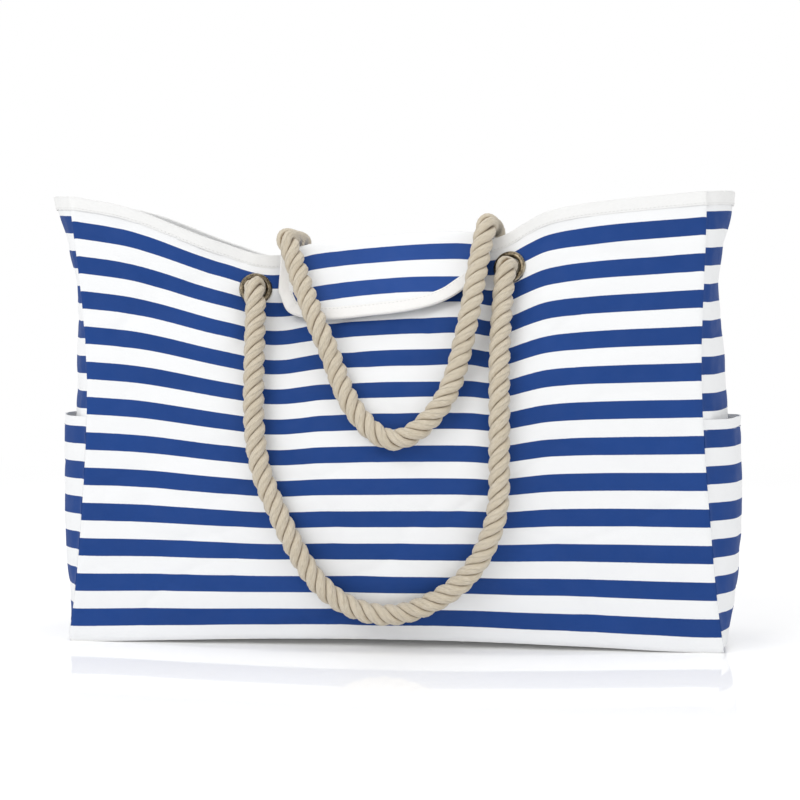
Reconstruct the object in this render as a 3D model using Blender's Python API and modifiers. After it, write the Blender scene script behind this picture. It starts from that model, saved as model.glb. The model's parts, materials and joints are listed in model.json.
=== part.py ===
"""Striped canvas beach bag with two rope handles, side pockets and a closing flap.

Frame: origin on the floor under the middle of the base, +X to the right seen from the front,
+Y from the front panel to the back panel, +Z up.  All lengths are in metres.
"""

import functools
import math

import bmesh
import bpy
import numpy as np
from mathutils import Vector

# Overall size of the bag
BASE_LENGTH = 0.559
BASE_DEPTH = 0.152
CORNER_HEIGHT = 0.384

# Cloth
FABRIC = 0.0016
SEAM_GAP = 0.0022
FLOOR_GAP = 0.0006
BASE_THICKNESS = 0.0020

# Shape of the panels, as (share of the height, value) pairs
HALF_WIDTH = ((0.0, BASE_LENGTH / 2), (0.16, 0.2715), (0.58, 0.2620), (1.0, 0.2740))
END_HALF_DEPTH = ((0.0, BASE_DEPTH / 2), (0.45, 0.0710), (0.90, 0.0550), (1.0, 0.0500))
MIDDLE_HALF_DEPTH = (
    (0.0, BASE_DEPTH / 2), (0.15, 0.0875), (0.35, 0.0950), (0.55, 0.0880),
    (0.75, 0.0620), (0.92, 0.0280), (1.0, 0.0150),
)
GUSSET_BULGE = ((0.0, 0.0), (0.12, 0.0150), (0.32, 0.0250), (0.55, 0.0250), (0.78, 0.0150), (1.0, 0.0250))
GUSSET_CROWN = 0.003
PINCH_POWER = 4
TOP_SLUMP = -0.010

# Heights of the two rims, as (x, height) pairs
FRONT_RIM = (
    (-0.284, 0.384), (-0.240, 0.376), (-0.155, 0.3445), (-0.110, 0.3320), (-0.096, 0.3332),
    (-0.073, 0.3402), (0.060, 0.3496), (0.080, 0.3450), (0.099, 0.3510), (0.124, 0.3660),
    (0.155, 0.3735), (0.264, 0.384),
)
BACK_RIM = (
    (-0.284, 0.384), (-0.240, 0.376), (-0.155, 0.3455), (-0.110, 0.3330), (-0.096, 0.3332),
    (-0.073, 0.3406), (0.060, 0.3500), (0.080, 0.3450), (0.099, 0.3510), (0.124, 0.3620),
    (0.155, 0.3715), (0.264, 0.384),
)

# Rim binding tape, folded over the raw edges
TAPE_WIDTH = 0.011
TAPE_THICKNESS = 0.0009
TAPE_CLEARANCE = 0.0010

# Grids that the panels and the rim tape share
PANEL_COLUMNS = 36
PANEL_ROWS = 12
GUSSET_COLUMNS = 8
GUSSET_ROWS = 12
TAPE_LINE = 1 - TAPE_WIDTH / CORNER_HEIGHT

# Side pockets
POCKET_TOP = 0.50
POCKET_BOTTOM = 0.012
POCKET_STAND_OFF = ((0.0, 0.0028), (0.30, 0.0050), (1.0, 0.0100))

# Eyelets, their washers and the knots behind them
EYELET_OUTER_R = 0.0140
EYELET_BORE_R = 0.0096
EYELET_TUBE_R = 0.0104
EYELET_FLANGE = 0.0012
EYELET_HOLE_R = 0.0109
EYELET_STAND_OFF = 0.0006
EYELET_DROP = 0.030
EYELET_FLAT_R = 0.030
EYELET_FADE_R = 0.062
FRONT_EYELET_X = (-0.121, 0.0995)
BACK_EYELET_X = (-0.106, 0.092)
KNOT_R = 0.0185
KNOT_HALF_DEPTH = 0.0130

# Rope handles
ROPE_R = 0.0090
ROPE_GAP = 0.0024
ROPE_PIVOT_OUT = 0.0128
ROPE_TRIM = 0.0130
ROPE_STEP = 0.016
FRONT_LOOP = (
    (-0.116, 0.255), (-0.111, 0.172), (-0.094, 0.122), (-0.053, 0.052), (0.003, 0.030),
    (0.062, 0.058), (0.091, 0.110), (0.094, 0.172), (0.093, 0.255),
)
BACK_LOOP = (
    (-0.078, 0.310), (-0.054, 0.258), (-0.028, 0.203), (0.008, 0.176),
    (0.048, 0.210), (0.066, 0.274), (0.0725, 0.318),
)
BACK_SPAN_X = (-0.094, 0.080)
SPAN_RISE = 0.0178

# Closing flap
FLAP_CENTRE_X = -0.0090
FLAP_HALF_WIDTH = 0.0920
FLAP_DROP = 0.0790
FLAP_SLANT = 0.002
FLAP_CORNER_POWER = (3.4, 2.3)
FLAP_EDGE = 0.985
FLAP_REACH = 0.122
FLAP_ABOVE_RIM = 0.0056
FLAP_OFF_RIM = 0.0062
FLAP_HINGE_GAP = 0.0014
FLAP_HEM_DROP = 0.024
FLAP_TAPE_WIDTH = 0.010
SNAP_R = 0.0090
SNAP_THICKNESS = 0.0014
SNAP_DROP = 0.050
SNAP_GAP = 0.0006
SOCKET_GAP = 0.0022

TURN_STEPS = 16


def clear_scene():
    """Removes every object and collection of the open file."""
    for obj in list(bpy.data.objects):
        bpy.data.objects.remove(obj, do_unlink=True)
    for collection in list(bpy.data.collections):
        bpy.data.collections.remove(collection)


def new_collection(name):
    """Adds a collection to the scene."""
    collection = bpy.data.collections.new(name)
    bpy.context.scene.collection.children.link(collection)
    return collection


def new_material(name, colour, roughness, metallic=0.0):
    """Makes a Principled material."""
    material = bpy.data.materials.new(name)
    material.use_nodes = True
    shader = material.node_tree.nodes["Principled BSDF"]
    shader.inputs["Base Color"].default_value = (*colour, 1.0)
    shader.inputs["Roughness"].default_value = roughness
    shader.inputs["Metallic"].default_value = metallic
    return material


def through(points, place):
    """Value at a place on a smooth curve through the points that never overshoots them."""
    xs = [p[0] for p in points]
    ys = [p[1] for p in points]
    place = min(max(place, xs[0]), xs[-1])
    slopes = [(ys[i + 1] - ys[i]) / (xs[i + 1] - xs[i]) for i in range(len(xs) - 1)]
    tangents = [slopes[0]]
    for before, after in zip(slopes, slopes[1:]):
        same_way = before * after > 0
        tangents.append(2 * before * after / (before + after) if same_way else 0.0)
    tangents.append(slopes[-1])
    i = min(np.searchsorted(xs, place, side="right") - 1, len(slopes) - 1)
    span = xs[i + 1] - xs[i]
    t = (place - xs[i]) / span
    rise = (1 + 2 * t) * (1 - t) ** 2 * ys[i] + t * t * (3 - 2 * t) * ys[i + 1]
    lean = t * (1 - t) ** 2 * tangents[i] - t * t * (1 - t) * tangents[i + 1]
    return rise + span * lean


def half_depth(u, v):
    """Distance of the front or back panel from the middle plane."""
    pinch = (1 - u * u) ** PINCH_POWER
    belly = (1 - u * u) ** 2
    blend = belly + (pinch - belly) * v * v
    end = through(END_HALF_DEPTH, v)
    return end + (through(MIDDLE_HALF_DEPTH, v) - end) * blend


def seam_x(side, v):
    """Where the side seam stands at a share of the height; side is -1 or 1."""
    return side * through(HALF_WIDTH, v) + TOP_SLUMP * v ** 3


def draped_point(face, u, v):
    """Point of the front (face -1) or back (face 1) panel as it would hang without eyelets."""
    x = u * through(HALF_WIDTH, v) + TOP_SLUMP * v ** 3
    top_x = u * through(HALF_WIDTH, 1.0) + TOP_SLUMP
    top = through(FRONT_RIM if face < 0 else BACK_RIM, top_x)
    z = FLOOR_GAP + v * (top - FLOOR_GAP)
    return Vector((x, face * half_depth(u, v), z))


@functools.cache
def eyelet_planes(face):
    """Centre and outward normal of each eyelet of a panel, as (left, right)."""
    xs = FRONT_EYELET_X if face < 0 else BACK_EYELET_X
    rim = FRONT_RIM if face < 0 else BACK_RIM
    planes = []
    for x in xs:
        u, v = surface_place(draped_point, face, x, through(rim, x) - EYELET_DROP)
        planes.append((draped_point(face, u, v), surface_normal(draped_point, face, u, v)))
    return planes


def panel_point(face, u, v):
    """Point of a panel; u runs -1 to 1, v runs 0 to 1.  The cloth is flat round each eyelet."""
    point = draped_point(face, u, v)
    for centre, normal in eyelet_planes(face):
        away = math.hypot(point.x - centre.x, point.z - centre.z)
        share = min(max((EYELET_FADE_R - away) / (EYELET_FADE_R - EYELET_FLAT_R), 0.0), 1.0)
        if share:
            flat_y = centre.y - (
                normal.x * (point.x - centre.x) + normal.z * (point.z - centre.z)
            ) / normal.y
            point.y += (flat_y - point.y) * share * share * (3 - 2 * share)
    return point


def gusset_point(side, w, v, stand_off=0.0):
    """Point of a side gusset; w runs -1 at the front seam to 1 at the back seam."""
    crown = 1 - w * w
    bulge = through(GUSSET_BULGE, v) * crown + stand_off
    x = seam_x(side, v) + side * bulge
    y = w * through(END_HALF_DEPTH, v)
    z = FLOOR_GAP + v * (CORNER_HEIGHT - FLOOR_GAP + GUSSET_CROWN * crown)
    return Vector((x, y, z))


def surface_place(surface, face, x, z):
    """The u and v of a panel surface's point at a given x and z."""
    u = x / through(HALF_WIDTH, 0.5)
    v = 0.5
    for _ in range(12):
        point = surface(face, u, v)
        u += (x - point.x) / through(HALF_WIDTH, v)
        v += (z - point.z) / CORNER_HEIGHT
        v = min(max(v, 0.0), 1.0)
    return u, v


def surface_normal(surface, face, u, v):
    """Outward unit normal of a panel surface."""
    step = 0.01
    low = max(v - step, 0.0)
    high = min(v + step, 1.0)
    along = surface(face, u + step, v) - surface(face, u - step, v)
    up = surface(face, u, high) - surface(face, u, low)
    return (along.cross(up) * -face).normalized()


def panel_place(face, x, z):
    """The u and v of the panel's point at a given x and z."""
    return surface_place(panel_point, face, x, z)


def panel_normal(face, u, v):
    """Outward unit normal of the panel."""
    return surface_normal(panel_point, face, u, v)


def off_panel(face, x, z, distance):
    """Point at a distance outside the panel, above its point at x and z."""
    u, v = panel_place(face, x, z)
    return panel_point(face, u, v) + panel_normal(face, u, v) * distance


def add_object(name, mesh, material, collection):
    """Links a mesh object with one material to a collection."""
    obj = bpy.data.objects.new(name, mesh)
    if material:
        mesh.materials.append(material)
    collection.objects.link(obj)
    return obj


def add_sheet(name, surface, across, up, material, thickness=FABRIC):
    """A cloth panel: a grid laid on surface(s, t), s -1 to 1 and t 0 to 1, made solid."""
    bm = bmesh.new()
    bmesh.ops.create_grid(bm, x_segments=across, y_segments=up, size=1.0)
    for vert in bm.verts:
        vert.co = surface(vert.co.x, (vert.co.y + 1) / 2)
    mesh = bpy.data.meshes.new(name)
    bm.to_mesh(mesh)
    bm.free()
    obj = add_object(name, mesh, material, BAG)
    solid = obj.modifiers.new("cloth", "SOLIDIFY")
    solid.thickness = thickness
    solid.offset = 0.0
    return obj


def add_tape(name, stations, closed, width, material):
    """Binding tape folded over an edge, lofted through (edge point, inward direction) stations."""
    inner = FABRIC / 2 + TAPE_CLEARANCE
    outer = inner + TAPE_THICKNESS
    top = -TAPE_CLEARANCE - TAPE_THICKNESS
    profile = (
        (outer, width), (outer, top), (-outer, top), (-outer, width),
        (-inner, width), (-inner, -TAPE_CLEARANCE), (inner, -TAPE_CLEARANCE), (inner, width),
    )
    count = len(stations)
    points = [point for point, _ in stations]
    bm = bmesh.new()
    rings = []
    for i, (point, inward) in enumerate(stations):
        before = points[i - 1] if closed or i else point
        after = points[(i + 1) % count] if closed or i < count - 1 else point
        ways = [leg.normalized() for leg in (point - before, after - point) if leg.length > 0]
        normals = [way.cross(inward).normalized() for way in ways]
        mitre = normals[0] + normals[-1]
        mitre = mitre / (1 + normals[0].dot(normals[-1]))
        rings.append([bm.verts.new(point + mitre * a + inward * b) for a, b in profile])
    size = len(profile)
    legs = count if closed else count - 1
    for i in range(legs):
        ring = rings[i]
        following = rings[(i + 1) % count]
        for j in range(size):
            k = (j + 1) % size
            bm.faces.new((ring[j], ring[k], following[k], following[j]))
    if not closed:
        bm.faces.new(rings[0])
        bm.faces.new(reversed(rings[-1]))
    bmesh.ops.recalc_face_normals(bm, faces=bm.faces)
    mesh = bpy.data.meshes.new(name)
    bm.to_mesh(mesh)
    bm.free()
    return add_object(name, mesh, material, BAG)


def add_turned(name, profile, closed, place, facing, material):
    """A turned piece whose local +Z faces outwards; the profile holds (radius, height) pairs."""
    mesh = bpy.data.meshes.new(name)
    count = len(profile)
    edges = [(i, i + 1) for i in range(count - 1)]
    if closed:
        edges.append((count - 1, 0))
    mesh.from_pydata([(r, 0.0, h) for r, h in profile], edges, [])
    obj = add_object(name, mesh, material, BAG)
    screw = obj.modifiers.new("turn", "SCREW")
    screw.steps = TURN_STEPS
    screw.render_steps = TURN_STEPS
    screw.use_merge_vertices = True
    screw.merge_threshold = 0.00001
    screw.use_smooth_shade = True
    obj.location = place
    obj.rotation_mode = "QUATERNION"
    obj.rotation_quaternion = Vector(facing).to_track_quat("Z", "Y")
    return obj


def smooth_path(points, step):
    """Points at even steps along a smooth curve through the given points."""
    nodes = [np.array(p) for p in points]
    nodes = [2 * nodes[0] - nodes[1]] + nodes + [2 * nodes[-1] - nodes[-2]]
    fine = []
    for p0, p1, p2, p3 in zip(nodes, nodes[1:], nodes[2:], nodes[3:]):
        for t in np.linspace(0, 1, 16, endpoint=False):
            cubic = -p0 + 3 * p1 - 3 * p2 + p3
            square = 2 * p0 - 5 * p1 + 4 * p2 - p3
            fine.append(0.5 * (2 * p1 + (p2 - p0) * t + square * t ** 2 + cubic * t ** 3))
    fine.append(nodes[-2])
    fine = np.array(fine)
    run = np.concatenate([[0], np.cumsum(np.linalg.norm(np.diff(fine, axis=0), axis=1))])
    even = np.linspace(0, run[-1], max(int(round(run[-1] / step)), 2) + 1)
    return [Vector([np.interp(s, run, fine[:, k]) for k in range(3)]) for s in even]


def trimmed(path, start, end):
    """The path with a length taken off each end."""
    run = [0.0]
    for a, b in zip(path, path[1:]):
        run.append(run[-1] + (b - a).length)

    def at(length):
        i = min(int(np.searchsorted(run, length, side="right")) - 1, len(path) - 2)
        share = (length - run[i]) / (run[i + 1] - run[i])
        return path[i].lerp(path[i + 1], share)

    margin = 0.3 * ROPE_STEP
    inside = [p for p, s in zip(path, run) if start + margin < s < run[-1] - end - margin]
    return [at(start)] + inside + [at(run[-1] - end)]


def add_rope(name, path, material):
    """A rope length with rounded ends, its core line running through the path."""
    first = (path[1] - path[0]).normalized()
    last = (path[-2] - path[-1]).normalized()
    caps = ((1.0, 0.12), (0.80, 0.60), (0.45, 0.893))
    points = [(path[0] - first * ROPE_R * out, radius) for out, radius in caps]
    points += [(p, 1.0) for p in path]
    points += [(path[-1] - last * ROPE_R * out, radius) for out, radius in reversed(caps)]
    curve = bpy.data.curves.new(name, "CURVE")
    curve.dimensions = "3D"
    curve.bevel_depth = ROPE_R
    curve.bevel_resolution = 2
    curve.use_fill_caps = True
    spline = curve.splines.new("POLY")
    spline.points.add(len(points) - 1)
    for bead, (place, radius) in zip(spline.points, points):
        bead.co = (*place, 1.0)
        bead.radius = radius
    curve.materials.append(material)
    obj = bpy.data.objects.new(name, curve)
    BAG.objects.link(obj)
    return obj


def set_pivot(objects, pivot):
    """Parents the objects to an empty on their joint's axis and keeps them in place."""
    for obj in objects:
        obj.parent = pivot
        obj.matrix_parent_inverse = pivot.matrix_world.inverted()


def add_pivot(name, left, right):
    """An empty halfway along a joint's axis, its X axis along it."""
    pivot = bpy.data.objects.new(name, None)
    pivot.empty_display_size = 0.02
    pivot.location = (left + right) / 2
    pivot.rotation_mode = "QUATERNION"
    pivot.rotation_quaternion = (right - left).to_track_quat("X", "Z")
    BAG.objects.link(pivot)
    bpy.context.view_layer.update()
    return pivot


# ---------------------------------------------------------------- the body of the bag


def build_base(material):
    """The flat bottom panel."""
    inset = FABRIC / 2 + SEAM_GAP / 2
    mesh = bpy.data.meshes.new("bottom_panel")
    bm = bmesh.new()
    bmesh.ops.create_cube(bm, size=1.0)
    for vert in bm.verts:
        vert.co.x *= BASE_LENGTH - 2 * inset
        vert.co.y *= BASE_DEPTH - 2 * inset
        vert.co.z = (vert.co.z + 0.5) * BASE_THICKNESS
    bm.to_mesh(mesh)
    bm.free()
    return add_object("bottom_panel", mesh, material, BAG)


def row_height(t, rows):
    """Share of the height of a grid row: even rows up to the tape's lower edge, then the rim."""
    even = t * rows / (rows - 1)
    return 1.0 if even > 1.001 else even * TAPE_LINE


def edge_pulled_in(s, half_size):
    """Grid place s with the outermost column pulled in by the seam gap."""
    return s * (1 - SEAM_GAP / half_size) if abs(s) > 0.999 else s


def build_panel(name, face, material):
    """The front or back panel, with its two eyelet holes."""

    def surface(s, t):
        v = row_height(t, PANEL_ROWS)
        return panel_point(face, -face * edge_pulled_in(s, BASE_LENGTH / 2), v)

    panel = add_sheet(name, surface, PANEL_COLUMNS, PANEL_ROWS, material)
    for label, plane in zip(("left", "right"), eyelet_planes(face)):
        cut_hole(panel, f"{name}_{label}_cutter", *plane)
    return panel


def cut_hole(panel, name, centre, normal):
    """Cuts a round eyelet hole through a panel."""
    mesh = bpy.data.meshes.new(name)
    bm = bmesh.new()
    bmesh.ops.create_cone(
        bm, cap_ends=True, segments=TURN_STEPS,
        radius1=EYELET_HOLE_R, radius2=EYELET_HOLE_R, depth=0.010,
    )
    bm.to_mesh(mesh)
    bm.free()
    cutter = add_object(name, mesh, None, CUTTERS)
    cutter.location = centre
    cutter.rotation_mode = "QUATERNION"
    cutter.rotation_quaternion = normal.to_track_quat("Z", "Y")
    cutter.hide_render = True
    cutter.display_type = "WIRE"
    cut = panel.modifiers.new(name, "BOOLEAN")
    cut.operation = "DIFFERENCE"
    cut.solver = "EXACT"
    cut.object = cutter


def build_gusset(name, side, material):
    """A side gusset, bulging outwards between the two side seams."""

    def surface(s, t):
        v = row_height(t, GUSSET_ROWS)
        return gusset_point(side, side * edge_pulled_in(s, through(END_HALF_DEPTH, v)), v)

    return add_sheet(name, surface, GUSSET_COLUMNS, GUSSET_ROWS, material)


def build_pocket(name, side, material):
    """A slip pocket lying over the lower half of a gusset, open at its top."""

    def surface(s, t):
        v = POCKET_BOTTOM + (POCKET_TOP - POCKET_BOTTOM) * t
        w = edge_pulled_in(s, through(END_HALF_DEPTH, v))
        return gusset_point(side, side * w, v, through(POCKET_STAND_OFF, t))

    return add_sheet(name, surface, GUSSET_COLUMNS, 8, material)


def rim_stations():
    """Stations around the whole rim: top edge point and the direction down the cloth."""
    stations = []
    walls = (
        (panel_point, -1, 1, PANEL_COLUMNS), (gusset_point, 1, 1, GUSSET_COLUMNS),
        (panel_point, 1, -1, PANEL_COLUMNS), (gusset_point, -1, -1, GUSSET_COLUMNS),
    )
    for surface, which, way, columns in walls:
        for place in np.linspace(-way, way, columns, endpoint=False):
            top = surface(which, place, 1.0)
            below = surface(which, place, TAPE_LINE)
            stations.append((top, (below - top).normalized()))
    return stations


def build_eyelet(prefix, centre, normal, metal):
    """A two-part eyelet: flanged tube from outside, washer inside."""
    face = FABRIC / 2 + EYELET_STAND_OFF
    front = face + EYELET_FLANGE
    back = -face - EYELET_FLANGE
    lip = 0.0004
    tube = (
        (EYELET_BORE_R + lip, front), (EYELET_OUTER_R - lip, front), (EYELET_OUTER_R, front - lip),
        (EYELET_OUTER_R, face), (EYELET_TUBE_R, face), (EYELET_TUBE_R, back),
        (EYELET_BORE_R, back), (EYELET_BORE_R, front - lip),
    )
    inner = EYELET_TUBE_R + 0.0003
    washer = ((inner, -face), (EYELET_OUTER_R, -face), (EYELET_OUTER_R, back), (inner, back))
    add_turned(f"{prefix}_eyelet", tube, True, centre, normal, metal)
    add_turned(f"{prefix}_washer", washer, True, centre, normal, metal)


def build_knot(prefix, centre, normal, material):
    """The stopper knot of a handle, with the rope's neck through the eyelet."""
    neck_r = ROPE_R - 0.0002
    neck_top = FABRIC / 2 + EYELET_STAND_OFF + EYELET_FLANGE
    ball_top = -(neck_top + 0.0006)
    ball_centre = ball_top - KNOT_HALF_DEPTH
    profile = [(0.0, neck_top), (neck_r, neck_top)]
    start = math.acos(neck_r / KNOT_R)
    for angle in np.linspace(start, -math.pi / 2, 9):
        radius = max(KNOT_R * math.cos(angle), 0.0)
        profile.append((radius, ball_centre + KNOT_HALF_DEPTH * math.sin(angle)))
    profile[-1] = (0.0, ball_centre - KNOT_HALF_DEPTH)
    add_turned(f"{prefix}_knot", profile, False, centre, normal, material)


# ---------------------------------------------------------------- the rope handles


def eyelet_pivots(face):
    """Where the two ends of a handle turn, just outside the eyelets."""
    return [centre + normal * ROPE_PIVOT_OUT for centre, normal in eyelet_planes(face)]


def before_panel(x, z, distance):
    """y at which a point at x and z is a distance outside the front panel."""
    u, v = panel_place(-1, x, z)
    return panel_point(-1, u, v).y - distance / abs(panel_normal(-1, u, v).y)


def before_flap(x, z):
    """y of a rope's core line at x and z, in front of the panel and of the flap lying on it."""
    panel_y = before_panel(x, z, ROPE_R + FABRIC / 2 + ROPE_GAP)
    fold = flap_fold(x)
    down = flap_down(x)
    drop = (fold.z - z) / -down.z
    proud = ROPE_R + FABRIC / 2 + TAPE_CLEARANCE + TAPE_THICKNESS + ROPE_GAP
    flap_y = fold.y + down.y * drop - proud / abs(down.z)
    share = min(max((FLAP_REACH - drop) / (FLAP_REACH - FLAP_DROP), 0.0), 1.0)
    share = share * share * (3 - 2 * share)
    return panel_y + (min(flap_y, panel_y) - panel_y) * share


def hanging_path(left, loop, right, depth):
    """Core line from one end to the other through the loop's (x, z) points at depth(x, z)."""
    flat = [(left.x, 0.0, left.z)] + [(x, 0.0, z) for x, z in loop] + [(right.x, 0.0, right.z)]
    path = [Vector((p.x, depth(p.x, p.z), p.z)) for p in smooth_path(flat, ROPE_STEP)]
    path[0] = left
    path[-1] = right
    return path


def build_front_handle(material):
    """The front handle: one rope loop that hangs from the two front eyelets."""
    left, right = eyelet_pivots(-1)
    clear = ROPE_R + FABRIC / 2 + ROPE_GAP
    path = hanging_path(left, FRONT_LOOP, right, lambda x, z: before_panel(x, z, clear))
    rope = add_rope("front_handle", trimmed(path, ROPE_TRIM, ROPE_TRIM), material)
    pivot = add_pivot("front_handle_axis", left, right)
    set_pivot([rope], pivot)


def span_ends():
    """The bends of the back handle over the back rim and over the front rim, left and right."""
    back_bends = []
    front_bends = []
    for x in BACK_SPAN_X:
        clear = ROPE_R + FLAP_OFF_RIM + FABRIC + ROPE_GAP
        rise = max(through(BACK_RIM, x), through(FRONT_RIM, x)) + SPAN_RISE
        u, _ = panel_place(1, x, through(BACK_RIM, x))
        reach = half_depth(u, 1.0) + clear
        back_bends.append(Vector((x, reach, rise)))
        front_bends.append(Vector((x, -reach, rise)))
    return back_bends, front_bends


def build_back_handle(material):
    """The back handle: up from the back eyelets, over both rims and down in front."""
    eyes = eyelet_pivots(1)
    back_bends, front_bends = span_ends()
    roots = []
    spans = []
    for i, label in enumerate(("left", "right")):
        root = trimmed([eyes[i], back_bends[i]], ROPE_TRIM, ROPE_TRIM)
        roots.append(add_rope(f"back_handle_{label}_root", root, material))
        span = trimmed([back_bends[i], front_bends[i]], ROPE_TRIM, ROPE_TRIM)
        spans.append(add_rope(f"back_handle_{label}_span", span, material))
    path = hanging_path(front_bends[0], BACK_LOOP, front_bends[1], before_flap)
    loop = add_rope("back_handle_loop", trimmed(path, ROPE_TRIM, ROPE_TRIM), material)
    set_pivot(roots, add_pivot("back_handle_eyelet_axis", *eyes))
    set_pivot(spans, add_pivot("back_handle_back_bend_axis", *back_bends))
    set_pivot([loop], add_pivot("back_handle_front_bend_axis", *front_bends))


# ---------------------------------------------------------------- the closing flap


def rim_edge(face, x):
    """Top edge of the panel at x."""
    u, _ = panel_place(face, x, through(FRONT_RIM if face < 0 else BACK_RIM, x))
    return panel_point(face, u, 1.0)


def flap_root(x):
    """Where the flap turns over the back rim."""
    edge = rim_edge(1, x)
    return edge + Vector((0.0, FLAP_OFF_RIM - 0.001, FLAP_ABOVE_RIM))


def flap_fold(x):
    """Where the flap turns down over the front rim."""
    edge = rim_edge(-1, x)
    return edge + Vector((0.0, -FLAP_OFF_RIM, FLAP_ABOVE_RIM))


def flap_x(s):
    """x across the flap for s from -1 to 1."""
    return FLAP_CENTRE_X + s * FLAP_HALF_WIDTH * FLAP_EDGE


def flap_top_point(s, t):
    """Point of the flap's top between the back fold (t 0) and the front fold (t 1)."""
    root = flap_root(flap_x(s))
    fold = flap_fold(flap_x(s))
    margin = FLAP_HINGE_GAP / (root - fold).length
    return root.lerp(fold, margin + (1 - 2 * margin) * t)


def flap_length(s):
    """How far the flap hangs at s: a tight left corner, a wide right one, a nearly level edge."""
    power = FLAP_CORNER_POWER[0 if s < 0 else 1]
    round_off = (1 - (abs(s) * FLAP_EDGE) ** power) ** (1 / power)
    return FLAP_DROP * round_off - FLAP_SLANT * s


def flap_front_point(s, t):
    """Point of the flap's hanging part; t runs from the front fold down to its edge."""
    return flap_front_place(flap_x(s), FLAP_HINGE_GAP + (flap_length(s) - FLAP_HINGE_GAP) * t)


def flap_front_place(x, drop):
    """Point of the hanging part at x and a distance below the front fold."""
    return flap_fold(x) + flap_down(x) * drop


def flap_down(x):
    """Direction in which the flap hangs from its front fold at x."""
    edge = rim_edge(-1, x)
    u, v = panel_place(-1, x, edge.z - FLAP_DROP)
    return (panel_point(-1, u, v) - edge).normalized()


def flap_hem_point(s, t):
    """Point of the flap's sewn hem, lying on the outside of the back panel."""
    x = flap_x(s)
    root = flap_root(x)
    low = off_panel(1, x, through(BACK_RIM, x) - FLAP_HEM_DROP, FLAP_OFF_RIM - 0.001)
    margin = FLAP_HINGE_GAP / FLAP_HEM_DROP
    return low.lerp(root, (1 - margin) * t)


def build_flap(cloth, tape, metal):
    """The flap: hem on the back panel, top over both rims, rounded front with a taped edge."""
    add_sheet("flap_hem", lambda s, t: flap_hem_point(-s, t), 12, 2, cloth)
    inset = TAPE_CLEARANCE / (FLAP_HALF_WIDTH * FLAP_EDGE)
    reach = 1 - inset
    top = add_sheet("flap_top", lambda s, t: flap_top_point(s * reach, 1 - t), 12, 3, cloth)
    front = add_sheet("flap_front", lambda s, t: flap_front_point(s * reach, 1 - t), 20, 4, cloth)
    tops = [top]
    for label, side in (("left", -1), ("right", 1)):
        tops.append(build_flap_side_tape(label, side, tape))
    fronts = [front, build_flap_edge_tape(tape), build_snap(metal)]
    ends = [flap_root(flap_x(s)) for s in (-1, 1)]
    set_pivot(tops, add_pivot("flap_back_fold_axis", *ends))
    folds = [flap_fold(flap_x(s)) for s in (-1, 1)]
    set_pivot(fronts, add_pivot("flap_front_fold_axis", *folds))


def build_flap_side_tape(label, side, material):
    """Tape on a short side of the flap's top."""
    inner = side * (1 - FLAP_TAPE_WIDTH / FLAP_HALF_WIDTH)
    stations = []
    for t in np.linspace(0.14, 0.86, 4):
        edge = flap_top_point(side, t)
        stations.append((edge, (flap_top_point(inner, t) - edge).normalized()))
    return add_tape(f"flap_top_{label}_tape", stations, False, FLAP_TAPE_WIDTH, material)


def build_flap_edge_tape(material):
    """Tape around the hanging edge of the flap."""
    ring = [(-1, t) for t in np.linspace(0.12, 1, 4)[:-1]]
    ring += [(s, 1.0) for s in flap_edge_stations()]
    ring += [(1, t) for t in np.linspace(1, 0.12, 4)[1:]]
    points = [flap_front_point(s, t) for s, t in ring]
    stations = []
    for i, (s, t) in enumerate(ring):
        along = points[min(i + 1, len(ring) - 1)] - points[max(i - 1, 0)]
        drop = (points[i] - flap_fold(points[i].x)).length
        normal = flap_front_normal(points[i].x - s * FLAP_TAPE_WIDTH / 2, drop)
        stations.append((points[i], normal.cross(along).normalized()))
    return add_tape("flap_front_tape", stations, False, FLAP_TAPE_WIDTH, material)


def flap_front_normal(x, drop):
    """Outward unit normal of the flap's hanging part."""
    across = flap_front_place(x + 0.004, drop) - flap_front_place(x - 0.004, drop)
    return across.cross(-flap_down(x)).normalized()


def flap_edge_stations():
    """Values of s along the flap's lower edge, closer together round the corners."""
    return [math.sin(angle) for angle in np.linspace(-math.pi / 2, math.pi / 2, 27)]


def build_snap(metal):
    """The two halves of the magnetic snap: stud on the flap, socket on the front panel."""
    x = FLAP_CENTRE_X
    share = SNAP_DROP / FLAP_DROP
    stud_place = flap_front_point(0.0, share)
    normal = flap_front_normal(x, SNAP_DROP)
    inner = -FABRIC / 2 - SNAP_GAP
    disc = disc_profile(inner, inner - SNAP_THICKNESS)
    stud = add_turned("snap_stud", disc, False, stud_place, normal, metal)
    u, v = panel_place(-1, x, stud_place.z)
    outer = FABRIC / 2 + SOCKET_GAP
    socket = disc_profile(outer + SNAP_THICKNESS, outer)
    add_turned("snap_socket", socket, False, panel_point(-1, u, v), panel_normal(-1, u, v), metal)
    return stud


def disc_profile(top, bottom):
    """Half section of a flat disc with a small chamfer."""
    chamfer = 0.0003
    return (
        (0.0, top), (SNAP_R - chamfer, top), (SNAP_R, top - chamfer),
        (SNAP_R, bottom + chamfer), (SNAP_R - chamfer, bottom), (0.0, bottom),
    )


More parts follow.
